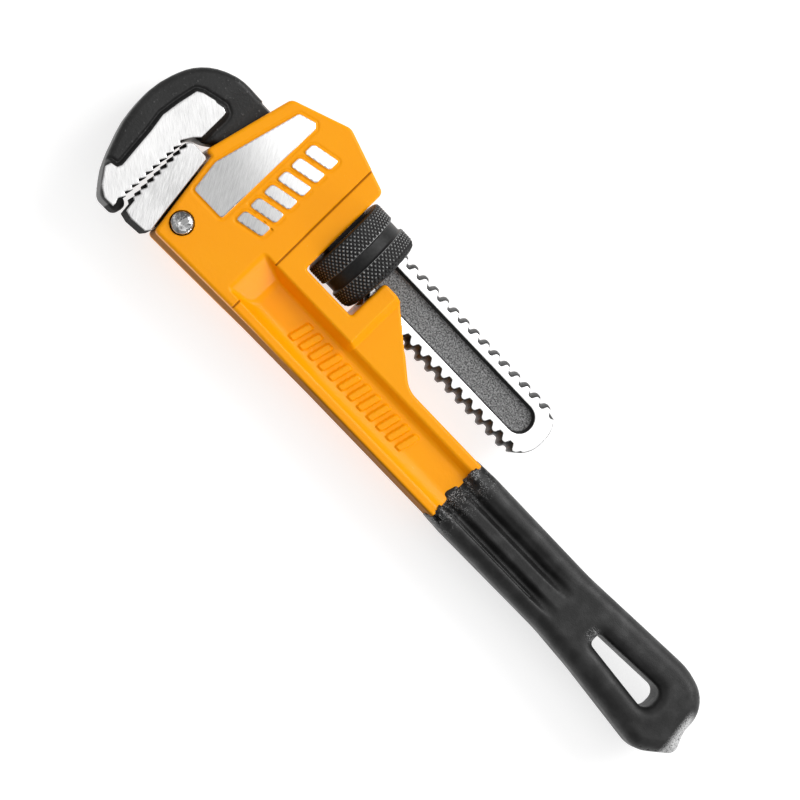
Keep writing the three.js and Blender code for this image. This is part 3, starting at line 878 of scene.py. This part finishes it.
# %% Shape of the grip
def grip_depth(x, y):
    """How deep the side lies under the grip's full half thickness: a trough between the rails,
    two grooves in it and a rib between them, all fading towards the slot."""
    between = ease(y, GRIP_BOTTOM + 4.4, GRIP_BOTTOM + 7.8) - ease(y, GRIP_TOP - 8.4, GRIP_TOP - 5.6)
    rib = 0.9 + 2.6 * (1 - ease(x, GRIP_START + 1, GRIP_START + 10))
    rib = rib * (1 - ease(x, WAIST - 16, WAIST + 4))
    groove = sum(1 - ease(np.abs(y - middle), 0.3, 2.5) for middle in TROUGHS)
    deep = 3.2 * (1 - ease(x, WAIST - 14, WAIST + 2))
    return between * rib + groove * np.maximum(deep - between * rib * 0.6, 0)


def grip_full(x, y, z):
    """Field of the dipped handle, without its start: outline, thickness and slot."""
    slot = slot_side(x, y)
    lip = 0.3 * np.exp(-(((slot - 4.2) / 2.2) ** 2))
    thin = 0.5 * (1 - ramp(x, GRIP_START, GRIP_START + 10))
    depth = grip_depth(x, y) - lip + thin
    return without(both(grip_side(x, y) + thin, np.abs(z) - GRIP_HALF + depth, 5.2), slot, 3.4)


def grip_inner(x, y, z):
    """Field of the room inside the skin, where the iron core is: 1.2 mm in from the outline,
    and 1.3 mm or more in from the two wide sides."""
    depth = GRIP_SKIN + 0.4 + 1.1 * grip_depth(x, y)
    body = both(grip_side(x, y) + GRIP_SKIN + 0.3, np.abs(z) - GRIP_HALF + depth, 3.0)
    return without(body, slot_side(x, y) - GRIP_SKIN - 0.3, 2.6)


def grip_start(x, y, z):
    """Field of everything past the wavy line where the vinyl starts."""
    wave = 0.4 * np.sin(0.42 * y + 0.8) + 0.16 * np.sin(1.3 * y) + 0.12 * np.sin(0.9 * z + y)
    return GRIP_START + 1.6 + wave - x


def grip_skin(x, y, z):
    """Field of the vinyl: inside the full grip, outside the core's room and past the wavy line."""
    shell = np.maximum(grip_full(x, y, z), -grip_inner(x, y, z))
    return both(shell, grip_start(x, y, z), 0.5)


make_piece(
    "dipped_grip",
    skin(grip_skin, (GRIP_START, GRIP_BOTTOM - 5, -9), (GRIP_END, GRIP_TOP + 4, 9), 0.55),
    "handle", "grip_sleeve", VINYL,
)

# %% [markdown]
# ## The cast handle
# The handle is one iron casting: a thick head round the shank, a thinner frame round the nut's
# window, and an I-section that runs into the grip. Castings are moulded, so every outer edge has a
# radius and every inner corner a fillet, and the walls of a recess lean outwards.
# Seen from the side it is an outline, and its half thickness is a function of x and y with a step
# behind the head, a ramp beside the window and raised marks. The recess, the shank's channel, the
# springs' room, the heel jaw's seat and its pin's hole are cut out of that.

# %% Sizes of the casting
FRAME_HALF, RAIL_HALF, WEB_HALF = 10.4, 6.8, 3.6
FRAME_START, FRAME_END, FRAME_RAMP = -19.2, 17.0, 3.0
WINDOW_X, WINDOW_FLOOR = 11.0, -18.3
HEAD_TOP, HEAD_BOTTOM = 25.6, -46.3
NOTCH_Y = -15.2
TAB_TOP = -2.2
SPRING_X = (COIL_LOW[0] + COIL_HIGH[0]) / 2
CHANNEL_R, CHANNEL_HALF = 11.6, SHANK_HALF + 0.4
ROCK_SLOPE = math.tan(math.radians(2.8))
SPRING_CEILING = 20.6
PIN_R = 2.9
FIT = 0.3
TONGUE_HALF = 4.5

casting_side = region([
    (-62.7, NOTCH_Y, 1.3),
    (-54.9, HEAD_TOP - 7.8, 3),
    (SPRING_X, HEAD_TOP + 0.15, 4),
    (-WINDOW_X, HEAD_TOP - 7.2, 2.4),
    (-WINDOW_X, WINDOW_FLOOR, 1),
    (WINDOW_X, WINDOW_FLOOR, 1),
    (WINDOW_X, TAB_TOP, 1.6),
    (WINDOW_X + 8.6, TAB_TOP, 1.6),
    (WINDOW_X + 32, RAIL_TOP, 10),
    (GRIP_START + 6, RAIL_TOP, 0),
    (GRIP_START + 6, RAIL_BOTTOM, 0),
    (-10, RAIL_BOTTOM, 60),
    (-55.2, HEAD_BOTTOM, 1.6),
    (-59.9, NOTCH_Y, 0.6),
])
ground_pad = region([
    (-57.6, -15.6, 1.2),
    (-49.7, HEAD_TOP - 9.6, 1),
    (-43.8, HEAD_TOP - 7.7, 0.8),
    (-42.4, HEAD_TOP - 9, 0.8),
    (-42.9, -27.2, 1),
    (-56, -27.2, 1),
])
channel_side = distance_to(np.array([
    (-80, -CHANNEL_R),
    (0, -CHANNEL_R),
    (70, -CHANNEL_R - 70 * ROCK_SLOPE),
    (70, CHANNEL_R + 30),
    (-WINDOW_X, CHANNEL_R + 30),
    (-WINDOW_X, CHANNEL_R + WINDOW_X * ROCK_SLOPE),
    (-80, CHANNEL_R + 80 * ROCK_SLOPE),
]))
room_side = region([
    (SPRING_X - 17.5, 4, 0),
    (SPRING_X - 17.5, SPRING_CEILING - 4.6, 2),
    (SPRING_X - 4.6, SPRING_CEILING, 1),
    (SPRING_X + 4.6, SPRING_CEILING, 1),
    (SPRING_X + 17.5, SPRING_CEILING - 4.6, 2),
    (SPRING_X + 17.5, 4, 0),
])
TONGUE = [(-64, -21.5, 0), (-47, -21.5, 4), (-43.4, -30, 3), (-43.4, -43.4, 3), (-64, -43.4, 0)]
seat_side = region(TONGUE, FIT)
print("head", round(HEAD_TOP - HEAD_BOTTOM, 1), "mm high, window", 2 * WINDOW_X, "mm long")

# %% [markdown]
# ### Levels of the casting
# The half thickness is worked out at every x and y. A row of bars is one bar repeated: the place
# along the row is first brought back into one pitch, and then one distance does for all of them.

# %% Levels of the casting
MARK_MIDDLE_X, MARK_LOW_Y, MARK_HIGH_Y, MARK_COUNT = -34.2, -24.0, 14.6, 6
RELIEF_LOW_X, RELIEF_HIGH_X, RELIEF_Y, RELIEF_COUNT = 1.0, 58.0, -33.6, 12


def marks(x, y):
    """Distance to a row of plain slanted bars on the head: one bar, repeated along y."""
    pitch = (MARK_HIGH_Y - MARK_LOW_Y) / MARK_COUNT
    turn = np.clip(np.floor((y - MARK_LOW_Y) / pitch), 0, MARK_COUNT - 1)
    middle = MARK_LOW_Y + (turn + 0.5) * pitch
    return bar(x - MARK_MIDDLE_X, y - middle - 0.22 * (x - MARK_MIDDLE_X), 5.0, 0.33 * pitch, 1.0)


def relief(x, y):
    """Distance to a row of plain slanted bars on the recess's floor, repeated along x."""
    pitch = (RELIEF_HIGH_X - RELIEF_LOW_X) / RELIEF_COUNT
    turn = np.clip(np.floor((x - RELIEF_LOW_X) / pitch), 0, RELIEF_COUNT - 1)
    middle = RELIEF_LOW_X + (turn + 0.5) * pitch
    return bar(x - middle - 0.25 * (y - RELIEF_Y), y - RELIEF_Y, 0.25 * pitch, 3.9, 0.7)


def casting_half(x, y):
    """Half thickness of the casting: head, then a small step, then the frame and its ramps."""
    short = ramp(x, FRAME_END, FRAME_END + FRAME_RAMP)
    long = ramp(x, FRAME_START, FRAME_END + FRAME_RAMP)
    half = FRAME_HALF - (FRAME_HALF - RAIL_HALF) * np.where(y > MIDDLE, short, long)
    head = 1 - ramp(x, FRAME_START - 0.35, FRAME_START + 0.05)
    foot = 0.3 * np.exp(-(((x - FRAME_START - 0.2) / 0.32) ** 2))
    return half + (HEAD_HALF - FRAME_HALF) * head - foot


def ground_lift(x, y):
    """Raised ground pad and marks, with a shallow moat round each."""
    lift = 0.0
    for edge in (ground_pad(x, y), marks(x, y)):
        lift = lift + GROUND_LIFT * (1 - ease(edge, -0.1, 0.45))
        lift = lift - 0.22 * np.exp(-(((edge - 0.85) / 0.4) ** 2))
    return lift


halves = [round(float(casting_half(x, -25.0)), 2) for x in (-30, 0, 60)]
print("half thickness of the head, the frame and the rail:", halves)

# %% [markdown]
# ### The casting as one field
# The recess is cut first, with leaning walls over a flat web. The core that reaches into the grip is
# joined on, and the passage for the shank, the seat of the heel jaw and its pin's hole come last.

# %% Shape of the casting
def recess(x, y, side, half):
    """Field of the long recess that makes the I-section: leaning walls over a flat web."""
    above = side - WEB_HALF
    over_web = np.maximum(half - WEB_HALF, 0.5)
    upper = (y - (RAIL_TOP - 6.1 + 2.3 * above / over_web)) / np.hypot(1, 2.3 / over_web)
    lower = ((RAIL_BOTTOM + 6.3 - 2.9 * above / over_web) - y) / np.hypot(1, 2.9 / over_web)
    front = ((-14 - 1.47 * above) - x) / math.hypot(1, 1.47)
    raised = 1.1 * (1 - ease(relief(x, y), -0.30, 0.50))
    floor = raised - above
    return both(both(both(lower, floor, 2.6), upper, 0.9), front, 0.9)


def casting(x, y, z):
    """Field of the casting: outline and levels, less the recess, with the core joined on, less the
    passage, the seat, the pin's hole and the shallow sink round each end of the pin."""
    side = np.abs(z)
    half = casting_half(x, y)
    body = both(casting_side(x, y), side - half - ground_lift(x, y), 1.25)
    body = without(body, recess(x, y, side, half), 0.6)
    body = np.maximum(body, x - GRIP_START - 3.2)
    core = np.maximum(grip_inner(x, y, z) + GRIP_FIT, GRIP_START + 2.8 - x)
    body = np.minimum(body, core)
    passage = np.minimum(channel_side(x, y), room_side(x, y))
    body = without(body, both(passage, side - CHANNEL_HALF, 0.3), 0.5)
    body = without(body, both(seat_side(x, y), side - (TONGUE_HALF + FIT), 0.3), 0.3)
    from_pin = np.hypot(x - PIN_X, y - PIN_Y)
    body = without(body, from_pin - PIN_R - FIT, 0.2)
    return without(body, both(from_pin - PIN_SINK_R, HEAD_HALF - 0.9 - side, 0.2), 0.15)


make_piece(
    "cast_handle",
    skin(casting, (-62.8, -52, -11.3), (GRIP_END, HEAD_TOP + 1, 11.3), 0.5),
    "handle", "handle_body", PAINT, casting,
)

# %% [markdown]
# ## The hooked jaw and its shank
# Head and shank are one forging. The hook is a bent slab with a rounded rim, and round the teeth it
# is thicker, with draft walls left by the die and a top that has been ground flat. The shank is a
# threaded round bar with two flats ground on it and a rough pocket left as forged in each flat, so
# the thread shows only as rounded scallops along both edges. First come the outlines.

# %% Outlines of the hooked jaw
RIM_HALF = 7.4
THREAD_R, THREAD_DEPTH, THREAD_PITCH, THREAD_START = 11.2, 1.7, 5.08, -14.0
NECK_X, SHANK_END = -66.0, JAW_HIGH[0]
JAW_OUTER, JAW_BOTTOM = JAW_LOW[0], JAW_LOW[1]
TOOTH_PITCH, TOOTH_COUNT = 3.14, 9
HOOK_TIP, HOOK_DEPTH, HOOK_DRIFT, HOOK_FIRST = -69.25, 1.5, -0.7, -19.75
HEEL_TIP, HEEL_DEPTH, HEEL_DRIFT, HEEL_FIRST = -69.0, 1.2, 0.8, -18.2


def teeth(tip_x, first_y, drift, depth, root_share):
    """Saw teeth from the first tip downwards: each tip, then the root below it."""
    turn = np.arange(TOOTH_COUNT)
    tips = np.stack([tip_x + drift * turn / TOOTH_COUNT, first_y - TOOTH_PITCH * turn], 1)
    roots = tips + np.array([depth, -root_share * TOOTH_PITCH])
    return np.stack([tips, roots], 1).reshape(-1, 2)


HOOK_ROOT = HOOK_TIP - HOOK_DEPTH
rim_side = region([
    (NECK_X + 5, THREAD_R, 0),
    (-71.5, THREAD_R, 22),
    (-84.6, 5, 20),
    (JAW_OUTER, -12, 32),
    (JAW_OUTER + 1.6, -27, 34),
    (-83, -42.5, 30),
    (-76, JAW_BOTTOM, 4),
    (-67.9, JAW_BOTTOM, 2.4),
    (-67.9, -46.2, 2),
    (HOOK_ROOT - 0.8, -45.6, 0),
    (HOOK_ROOT - 0.8, -15.6, 0),
    (-64.6, -13.4, 2.2),
    (NECK_X + 5, -THREAD_R + 0.5, 0),
])
PAD_HEAD = [(-78.2, -3.6), (-76.6, -2.6), (-68.6, -0.5), (-66.9, -1.2), (-66.5, -2.6),
            (-66.5, -12.9), (-68.6, -15.2), (HOOK_ROOT, HOOK_FIRST + 0.25 * TOOTH_PITCH)]
PAD_TAIL = [(HOOK_TIP - 1.3, -49), (-70.4, -50.4), (-74.6, -50.4), (-78.2, -48.2),
            (-82, -42.8), (-81.4, -41.2), (-78.6, -40.6), (-77.7, -38.6), (-79.2, -23.8),
            (-80.3, -17), (-79.5, -10.4)]
pad_side = distance_to(np.concatenate([
    PAD_HEAD, teeth(HOOK_TIP, HOOK_FIRST, HOOK_DRIFT, -HOOK_DEPTH, 0.75), PAD_TAIL,
]))
shank_side = region([
    (NECK_X - 6, -THREAD_R, 0),
    (SHANK_END, -THREAD_R, 10),
    (SHANK_END, THREAD_R, 10),
    (NECK_X - 6, THREAD_R, 0),
])
pocket_side = region([
    (-8, -POCKET_WIDE, 1),
    (POCKET_END, -POCKET_WIDE, 5.2),
    (POCKET_END, POCKET_WIDE, 5.2),
    (-8, POCKET_WIDE, 1),
])


print("jaw", round(SHANK_END - JAW_OUTER, 1), "mm long with", TOOTH_COUNT, "teeth")

# %% [markdown]
# ### Thread, hook and shank
# The thread is a helix: its radius depends on the place along the shank and on the angle round it.
# Cutting the two flats and the pocket out of the threaded bar leaves the scalloped edges.

# %% Shape of the hooked jaw
def thread_radius(x, around, clear=0.0):
    """Radius of the thread at a place along the shank and an angle round it. The phase within one
    turn runs from -0.5 to 0.5, and a raised cosine makes crest and root round."""
    phase = x / THREAD_PITCH - around / (2 * np.pi)
    phase = np.abs(phase - np.round(phase))
    low = ease(phase, 0.10, 0.40)
    return THREAD_R + clear - THREAD_DEPTH * low * ramp(x, THREAD_START - 1, THREAD_START)


def hook_head(x, y, z):
    """The rounded hook, a drafted boss round the teeth and its ground top."""
    side = np.abs(z)
    edge = pad_side(x, y)
    boss = (PAD_HALF - RIM_HALF) * (1 - ease(edge, 0.15, 2.0))
    crease = 0.6 * np.exp(-(((edge - 1.9) / 0.6) ** 2))
    rim = rim_side(x, y)
    neck = (RIM_HALF - SHANK_HALF) * ease(x, NECK_X - 7, NECK_X + 4.5)
    hook = both(rim, side - RIM_HALF + neck - boss + crease, 2.2)
    pad = both(edge, side - PAD_HALF, 0.22)
    return np.minimum(hook, pad)


def shank(x, y, z):
    """Thread, two flats, rounded end and a pocket in each flat."""
    side = np.abs(z)
    around = np.arctan2(z, y)
    screw = 0.85 * (np.hypot(y, z) - thread_radius(x, around))
    bar_end = both(shank_side(x, y), side - SHANK_HALF, 0.35)
    body = both(screw, bar_end, 0.3)
    wall = pocket_side(x, y) + 0.28 * (SHANK_HALF - side)
    return without(body, both(wall, POCKET_Z - side, 0.9), 0.25)


def hooked_jaw(x, y, z):
    """Field of the forging: hook and shank, with a fillet between them."""
    return either(hook_head(x, y, z), shank(x, y, z), 0.8)


make_piece(
    "hooked_jaw",
    skin(hooked_jaw, (JAW_OUTER, JAW_BOTTOM, -8.6), (SHANK_END, THREAD_R + 0.2, 8.6), 0.36),
    "jaw", "hook_jaw", FORGING,
)

# %% [markdown]
# ## The heel jaw
# The lower jaw is a separate block of hard steel, so that it can be replaced. Its teeth lean against
# those of the hook, its sides are ground, and a thinner tongue reaches into the head, where the pin
# holds it.

# %% Shape of the heel jaw
HEEL_HEAD = [(-68, -16.6), (-67, -16.2), (-61 - FIT, -16.2), (-59.9 - FIT, -16.8),
             (-57.1 - FIT, -38), (-55.8 - FIT, HEAD_BOTTOM - 0.4), (-57.4, -48.4),
             (-63.5, -48.9), (-66.6, -48.2)]
heel_side = distance_to(np.concatenate([
    HEEL_HEAD, teeth(HEEL_TIP, HEEL_FIRST, HEEL_DRIFT, HEEL_DEPTH, 0.2)[::-1],
]))
tongue_side = region(TONGUE)


def heel_block(x, y, z):
    """Field of the heel jaw: toothed block and tongue, less the pin's hole."""
    side = np.abs(z)
    block = both(heel_side(x, y), side - PAD_HALF, 0.3)
    tongue = both(tongue_side(x, y), side - TONGUE_HALF, 0.3)
    pin = np.hypot(x - PIN_X, y - PIN_Y) - PIN_R - FIT
    return without(np.minimum(block, tongue), pin, 0.1)


make_piece(
    "heel_jaw_block",
    skin(heel_block, HEEL_LOW, HEEL_HIGH, 0.3),
    "handle", "heel_jaw", HEEL_STEEL,
)

# %% [markdown]
# ## The pin
# A plain pin holds the heel jaw. It is pushed through the head and hammered over at both ends, so
# each head is a low dome, a little uneven. Its profile is turned about the pin's axis.

# %% Turned profile of the pin
def turned(profile, columns, axis, middle):
    """Grid of a profile (radius, position) turned about an axis through the middle."""
    around = np.linspace(0, 2 * np.pi, columns, endpoint=False)
    radius, along = np.array(profile).T
    sweep = np.stack([np.cos(around), np.sin(around)], -1)
    grid = np.zeros((len(profile), columns, 3))
    u, v = [(1, 2), (2, 0), (0, 1)][axis]
    grid[..., u] = radius[:, None] * sweep[:, 0]
    grid[..., v] = radius[:, None] * sweep[:, 1]
    grid[..., axis] = along[:, None]
    return grid + np.asarray(middle)


HEAD_R, PIN_SHOULDER, PIN_TOP = 3.85, HEAD_HALF - 0.75, PIN_HIGH[2]
rise = np.linspace(0, np.pi / 2, 16)[:-1]
dome = [
    (HEAD_R * math.cos(a) ** 0.8, PIN_TOP - 1.2 + 1.2 * math.sin(a)) for a in rise
] + [(0.35, PIN_TOP - 0.005)]
half_pin = [(PIN_R, 0.5), (PIN_R, PIN_SHOULDER - 0.1), (HEAD_R - 0.15, PIN_SHOULDER),
            (HEAD_R, PIN_SHOULDER + 0.15), *dome]
pin_profile = [(r, -h) for r, h in reversed(half_pin)] + half_pin
make_piece(
    "heel_pin",
    wrap(turned(pin_profile, 56, 2, (PIN_X, PIN_Y, 0))),
    "handle", "heel_jaw_pin", POLISHED,
)

# %% [markdown]
# ## The adjusting nut
# The nut is two knurled rings with a plain groove between them. A knurling tool presses two sets of
# crossing grooves into the steel and leaves rows of small pyramids. Here the outer radius is lowered
# by two triangle waves, one for each set of grooves, and the bore follows the shank's thread.

# %% Grid of the knurled nut
NUT_HALF = NUT_HIGH[0]
KNURLS, KNURL_PITCH, KNURL_DEPTH = 58, 2.0, 0.6
NUT_COLUMNS = KNURLS * 8
THREAD_CLEAR, FACE_ROWS = 0.35, 5


def nut_outer(x):
    """Outer radius of the nut's blank along its axis, before knurling."""
    stations = [-1, -0.965, -0.9, -0.27, -0.2, 0.2, 0.27, 0.72, 0.86, 0.95, 1]
    radii = [-0.9, -0.35, 0, 0, -1.0, -1.0, 0, 0, -0.4, -1.1, -2.2]
    return NUT_R - 0.02 + np.interp(x / NUT_HALF, stations, radii)


def wave(phase):
    """Triangle wave: 0 at whole numbers and 1 half way between them."""
    return 1 - 2 * np.abs(phase - np.floor(phase) - 0.5)


def knurl(x, around):
    """Height of the knurling from 0 in a groove to 1 on a pyramid's tip."""
    turn = KNURLS * around / (2 * np.pi)
    crossing = np.minimum(wave(turn + x / KNURL_PITCH), wave(turn - x / KNURL_PITCH))
    return np.clip(1.25 * crossing, 0, 1)


outer_x = np.linspace(-NUT_HALF, NUT_HALF, 104)
around = np.linspace(0, 2 * np.pi, NUT_COLUMNS, endpoint=False)
on_rings = (ease(np.abs(outer_x), 2.55, 2.75) * (1 - ease(outer_x, 8.6, 9.3)))[:, None]
on_rings = on_rings * ease(outer_x, -9.3, -8.9)[:, None]
cut = KNURL_DEPTH * (1 - knurl(outer_x[:, None], around[None])) * on_rings
outer_r = nut_outer(outer_x)[:, None] - cut
bore_x = np.linspace(NUT_HALF, -NUT_HALF, 56)
bore_r = thread_radius(bore_x[:, None], around[None], THREAD_CLEAR)
face_share = np.linspace(0, 1, FACE_ROWS + 2)[1:-1, None]
right_r = outer_r[-1] * (1 - face_share) + bore_r[0] * face_share
left_r = bore_r[-1] * (1 - face_share) + outer_r[0] * face_share
face_x = np.full(FACE_ROWS, NUT_HALF)
nut_x = np.concatenate([outer_x, face_x, bore_x, -face_x])
nut_r = np.concatenate([outer_r, right_r, bore_r, left_r])
nut_grid = np.stack([
    np.broadcast_to(nut_x[:, None], nut_r.shape), nut_r * np.cos(around), nut_r * np.sin(around)
], -1)
make_piece(
    "knurled_nut", wrap(nut_grid, ring=True), "nut", "adjusting_nut", KNURL,
)

# %% [markdown]
# ## The springs in the head
# A leaf spring presses on the shank, a small coil over it presses the leaf down, and a rivet ties
# the two together. They let the hooked jaw rock a little, so that it lets go and bites again. The
# coil is a wire carried along a helix.

# %% Coil, leaf and rivet
COIL_R, WIRE_R, COIL_TURNS = 3.2, 0.6, 3.0
LEAF_HALF, LEAF_WIDE, LEAF_THICK, LEAF_RISE = 15.5, 4.5, 0.9, 1.1


def coil_grid():
    """A circle of the wire's radius carried along a helix that rises along y."""
    t = np.linspace(0, 1, int(32 * COIL_TURNS) + 1)[:, None]
    turn = 2 * np.pi * COIL_TURNS * t
    low, high = COIL_LOW[1] + WIRE_R, COIL_HIGH[1] - WIRE_R
    path = np.concatenate([COIL_R * np.cos(turn), low + (high - low) * t, COIL_R * np.sin(turn)], 1)
    outwards = np.concatenate([np.cos(turn), 0 * t, np.sin(turn)], 1)
    ring = np.linspace(0, 2 * np.pi, 12, endpoint=False)
    up = np.array([0.0, 1.0, 0.0])
    grid = path[:, None] + WIRE_R * (
        outwards[:, None] * np.cos(ring)[None, :, None] + up * np.sin(ring)[None, :, None]
    )
    return grid + np.array([SPRING_X, 0, 0])


def leaf_grid():
    """A flat strip's rounded section carried along a shallow arch, highest in the middle."""
    t = np.linspace(-1, 1, 49)
    ring = np.linspace(0, 2 * np.pi, 40, endpoint=False)
    across = np.sign(np.cos(ring)) * np.abs(np.cos(ring)) ** 0.25 * LEAF_WIDE
    thick = np.sign(np.sin(ring)) * np.abs(np.sin(ring)) ** 0.25 * LEAF_THICK / 2
    base = LEAF_UNDER + LEAF_THICK / 2 + LEAF_RISE * (1 - t**2)
    grid = np.zeros((len(t), len(ring), 3))
    grid[..., 0] = (SPRING_X + LEAF_HALF * t)[:, None]
    grid[..., 1] = base[:, None] + thick
    grid[..., 2] = across
    return grid


coil = make_piece(
    "coil_spring_wire", wrap(coil_grid()), "handle", "coil_spring", SPRING
)
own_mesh(coil)
make_piece("leaf_spring", wrap(leaf_grid()), "leaf", "flat_spring", SPRING)

rivet_profile = [
    (0.1, RIVET_FOOT), (1.9, RIVET_FOOT), (2.1, RIVET_FOOT + 0.2), (2.1, RIVET_FOOT + 0.7),
    (1.2, RIVET_FOOT + 0.8), (1.2, RIVET_TOP - 1.3), (1.75, RIVET_TOP - 1.3),
    (1.75, RIVET_TOP - 0.6), (1.4, RIVET_TOP - 0.2), (1.1, RIVET_TOP), (0.1, RIVET_TOP),
]
make_piece(
    "leaf_rivet",
    wrap(turned(rivet_profile, 28, 1, (SPRING_X, 0, 0))),
    "leaf", "spring_rivet", SPRING,
)

# %% [markdown]
# ## Floor and light
# A pale floor under the wrench, a soft even sky and four large soft lamps: one from the shank's
# side, one overhead, a low one at the end of the handle and a weak one from behind the jaws.

# %% Floor, sky and lamps
FLOOR_HALF, FLOOR_FLAT_R, FLOOR_GAP, FLOOR_ROWS = 3.0, 2.0, 0.0002, 41
SKY_STRENGTH = 0.36


def make_floor():
    """A wide sheet just under the wrench, turned up gently towards its edges."""
    t = np.linspace(-1, 1, FLOOR_ROWS)
    x, y = np.meshgrid(t * FLOOR_HALF, t * FLOOR_HALF, indexing="ij")
    z = CAD_BOX[0][2] - FLOOR_GAP + 0.02 * np.maximum(np.hypot(x, y) - FLOOR_FLAT_R, 0) ** 2
    points = np.stack([x, y, z], -1).reshape(-1, 3)
    number = np.arange(FLOOR_ROWS**2).reshape(FLOOR_ROWS, FLOOR_ROWS)
    quads = np.stack([number[:-1, :-1], number[1:, :-1], number[1:, 1:], number[:-1, 1:]], -1)
    mesh = bpy.data.meshes.new("floor")
    mesh.from_pydata(points.tolist(), [], quads.reshape(-1, 4).tolist())
    mesh.shade_smooth()
    floor = bpy.data.objects.new("floor", mesh)
    bpy.context.scene.collection.objects.link(floor)
    finish = Finish(
        "pale_floor", roughness=0.9, specular_ior_level=0.1,
        emission_color=(1, 1, 1, 1), emission_strength=0.68,
    )
    place = finish.place()
    tone = finish.mix(finish.noise(place, 0.01, 2.0), grey(0.46), grey(0.50))
    mesh.materials.append(finish.feed(base_color=tone))


def make_lamp(name, place, power, size):
    """A square soft lamp that looks at the middle of the wrench."""
    data = bpy.data.lights.new(name, "AREA")
    data.energy, data.size = power, size
    lamp = bpy.data.objects.new(name, data)
    bpy.context.scene.collection.objects.link(lamp)
    way = Vector(place)
    lamp.matrix_world = Matrix.Translation(way) @ way.to_track_quat("Z", "Y").to_matrix().to_4x4()


LAMPS = [
    ("shank_side_lamp", (0.45, 1.05, 0.95), 14, 0.9),
    ("overhead_lamp", (0.15, 0.25, 1.5), 4, 1.0),
    ("handle_end_lamp", (1.25, 0.05, 0.28), 4, 0.3),
    ("jaw_lamp", (-0.9, 0.1, 0.8), 1.5, 0.8),
]
make_floor()
for lamp in LAMPS:
    make_lamp(*lamp)
print("lamps:", [name for name, *_ in LAMPS])
world = bpy.data.worlds.new("sky")
bpy.context.scene.world = world
world.use_nodes = True
world.node_tree.nodes["Background"].inputs["Color"].default_value = (1, 1, 1, 1)
world.node_tree.nodes["Background"].inputs["Strength"].default_value = SKY_STRENGTH
bpy.context.scene.view_settings.view_transform = "Standard"
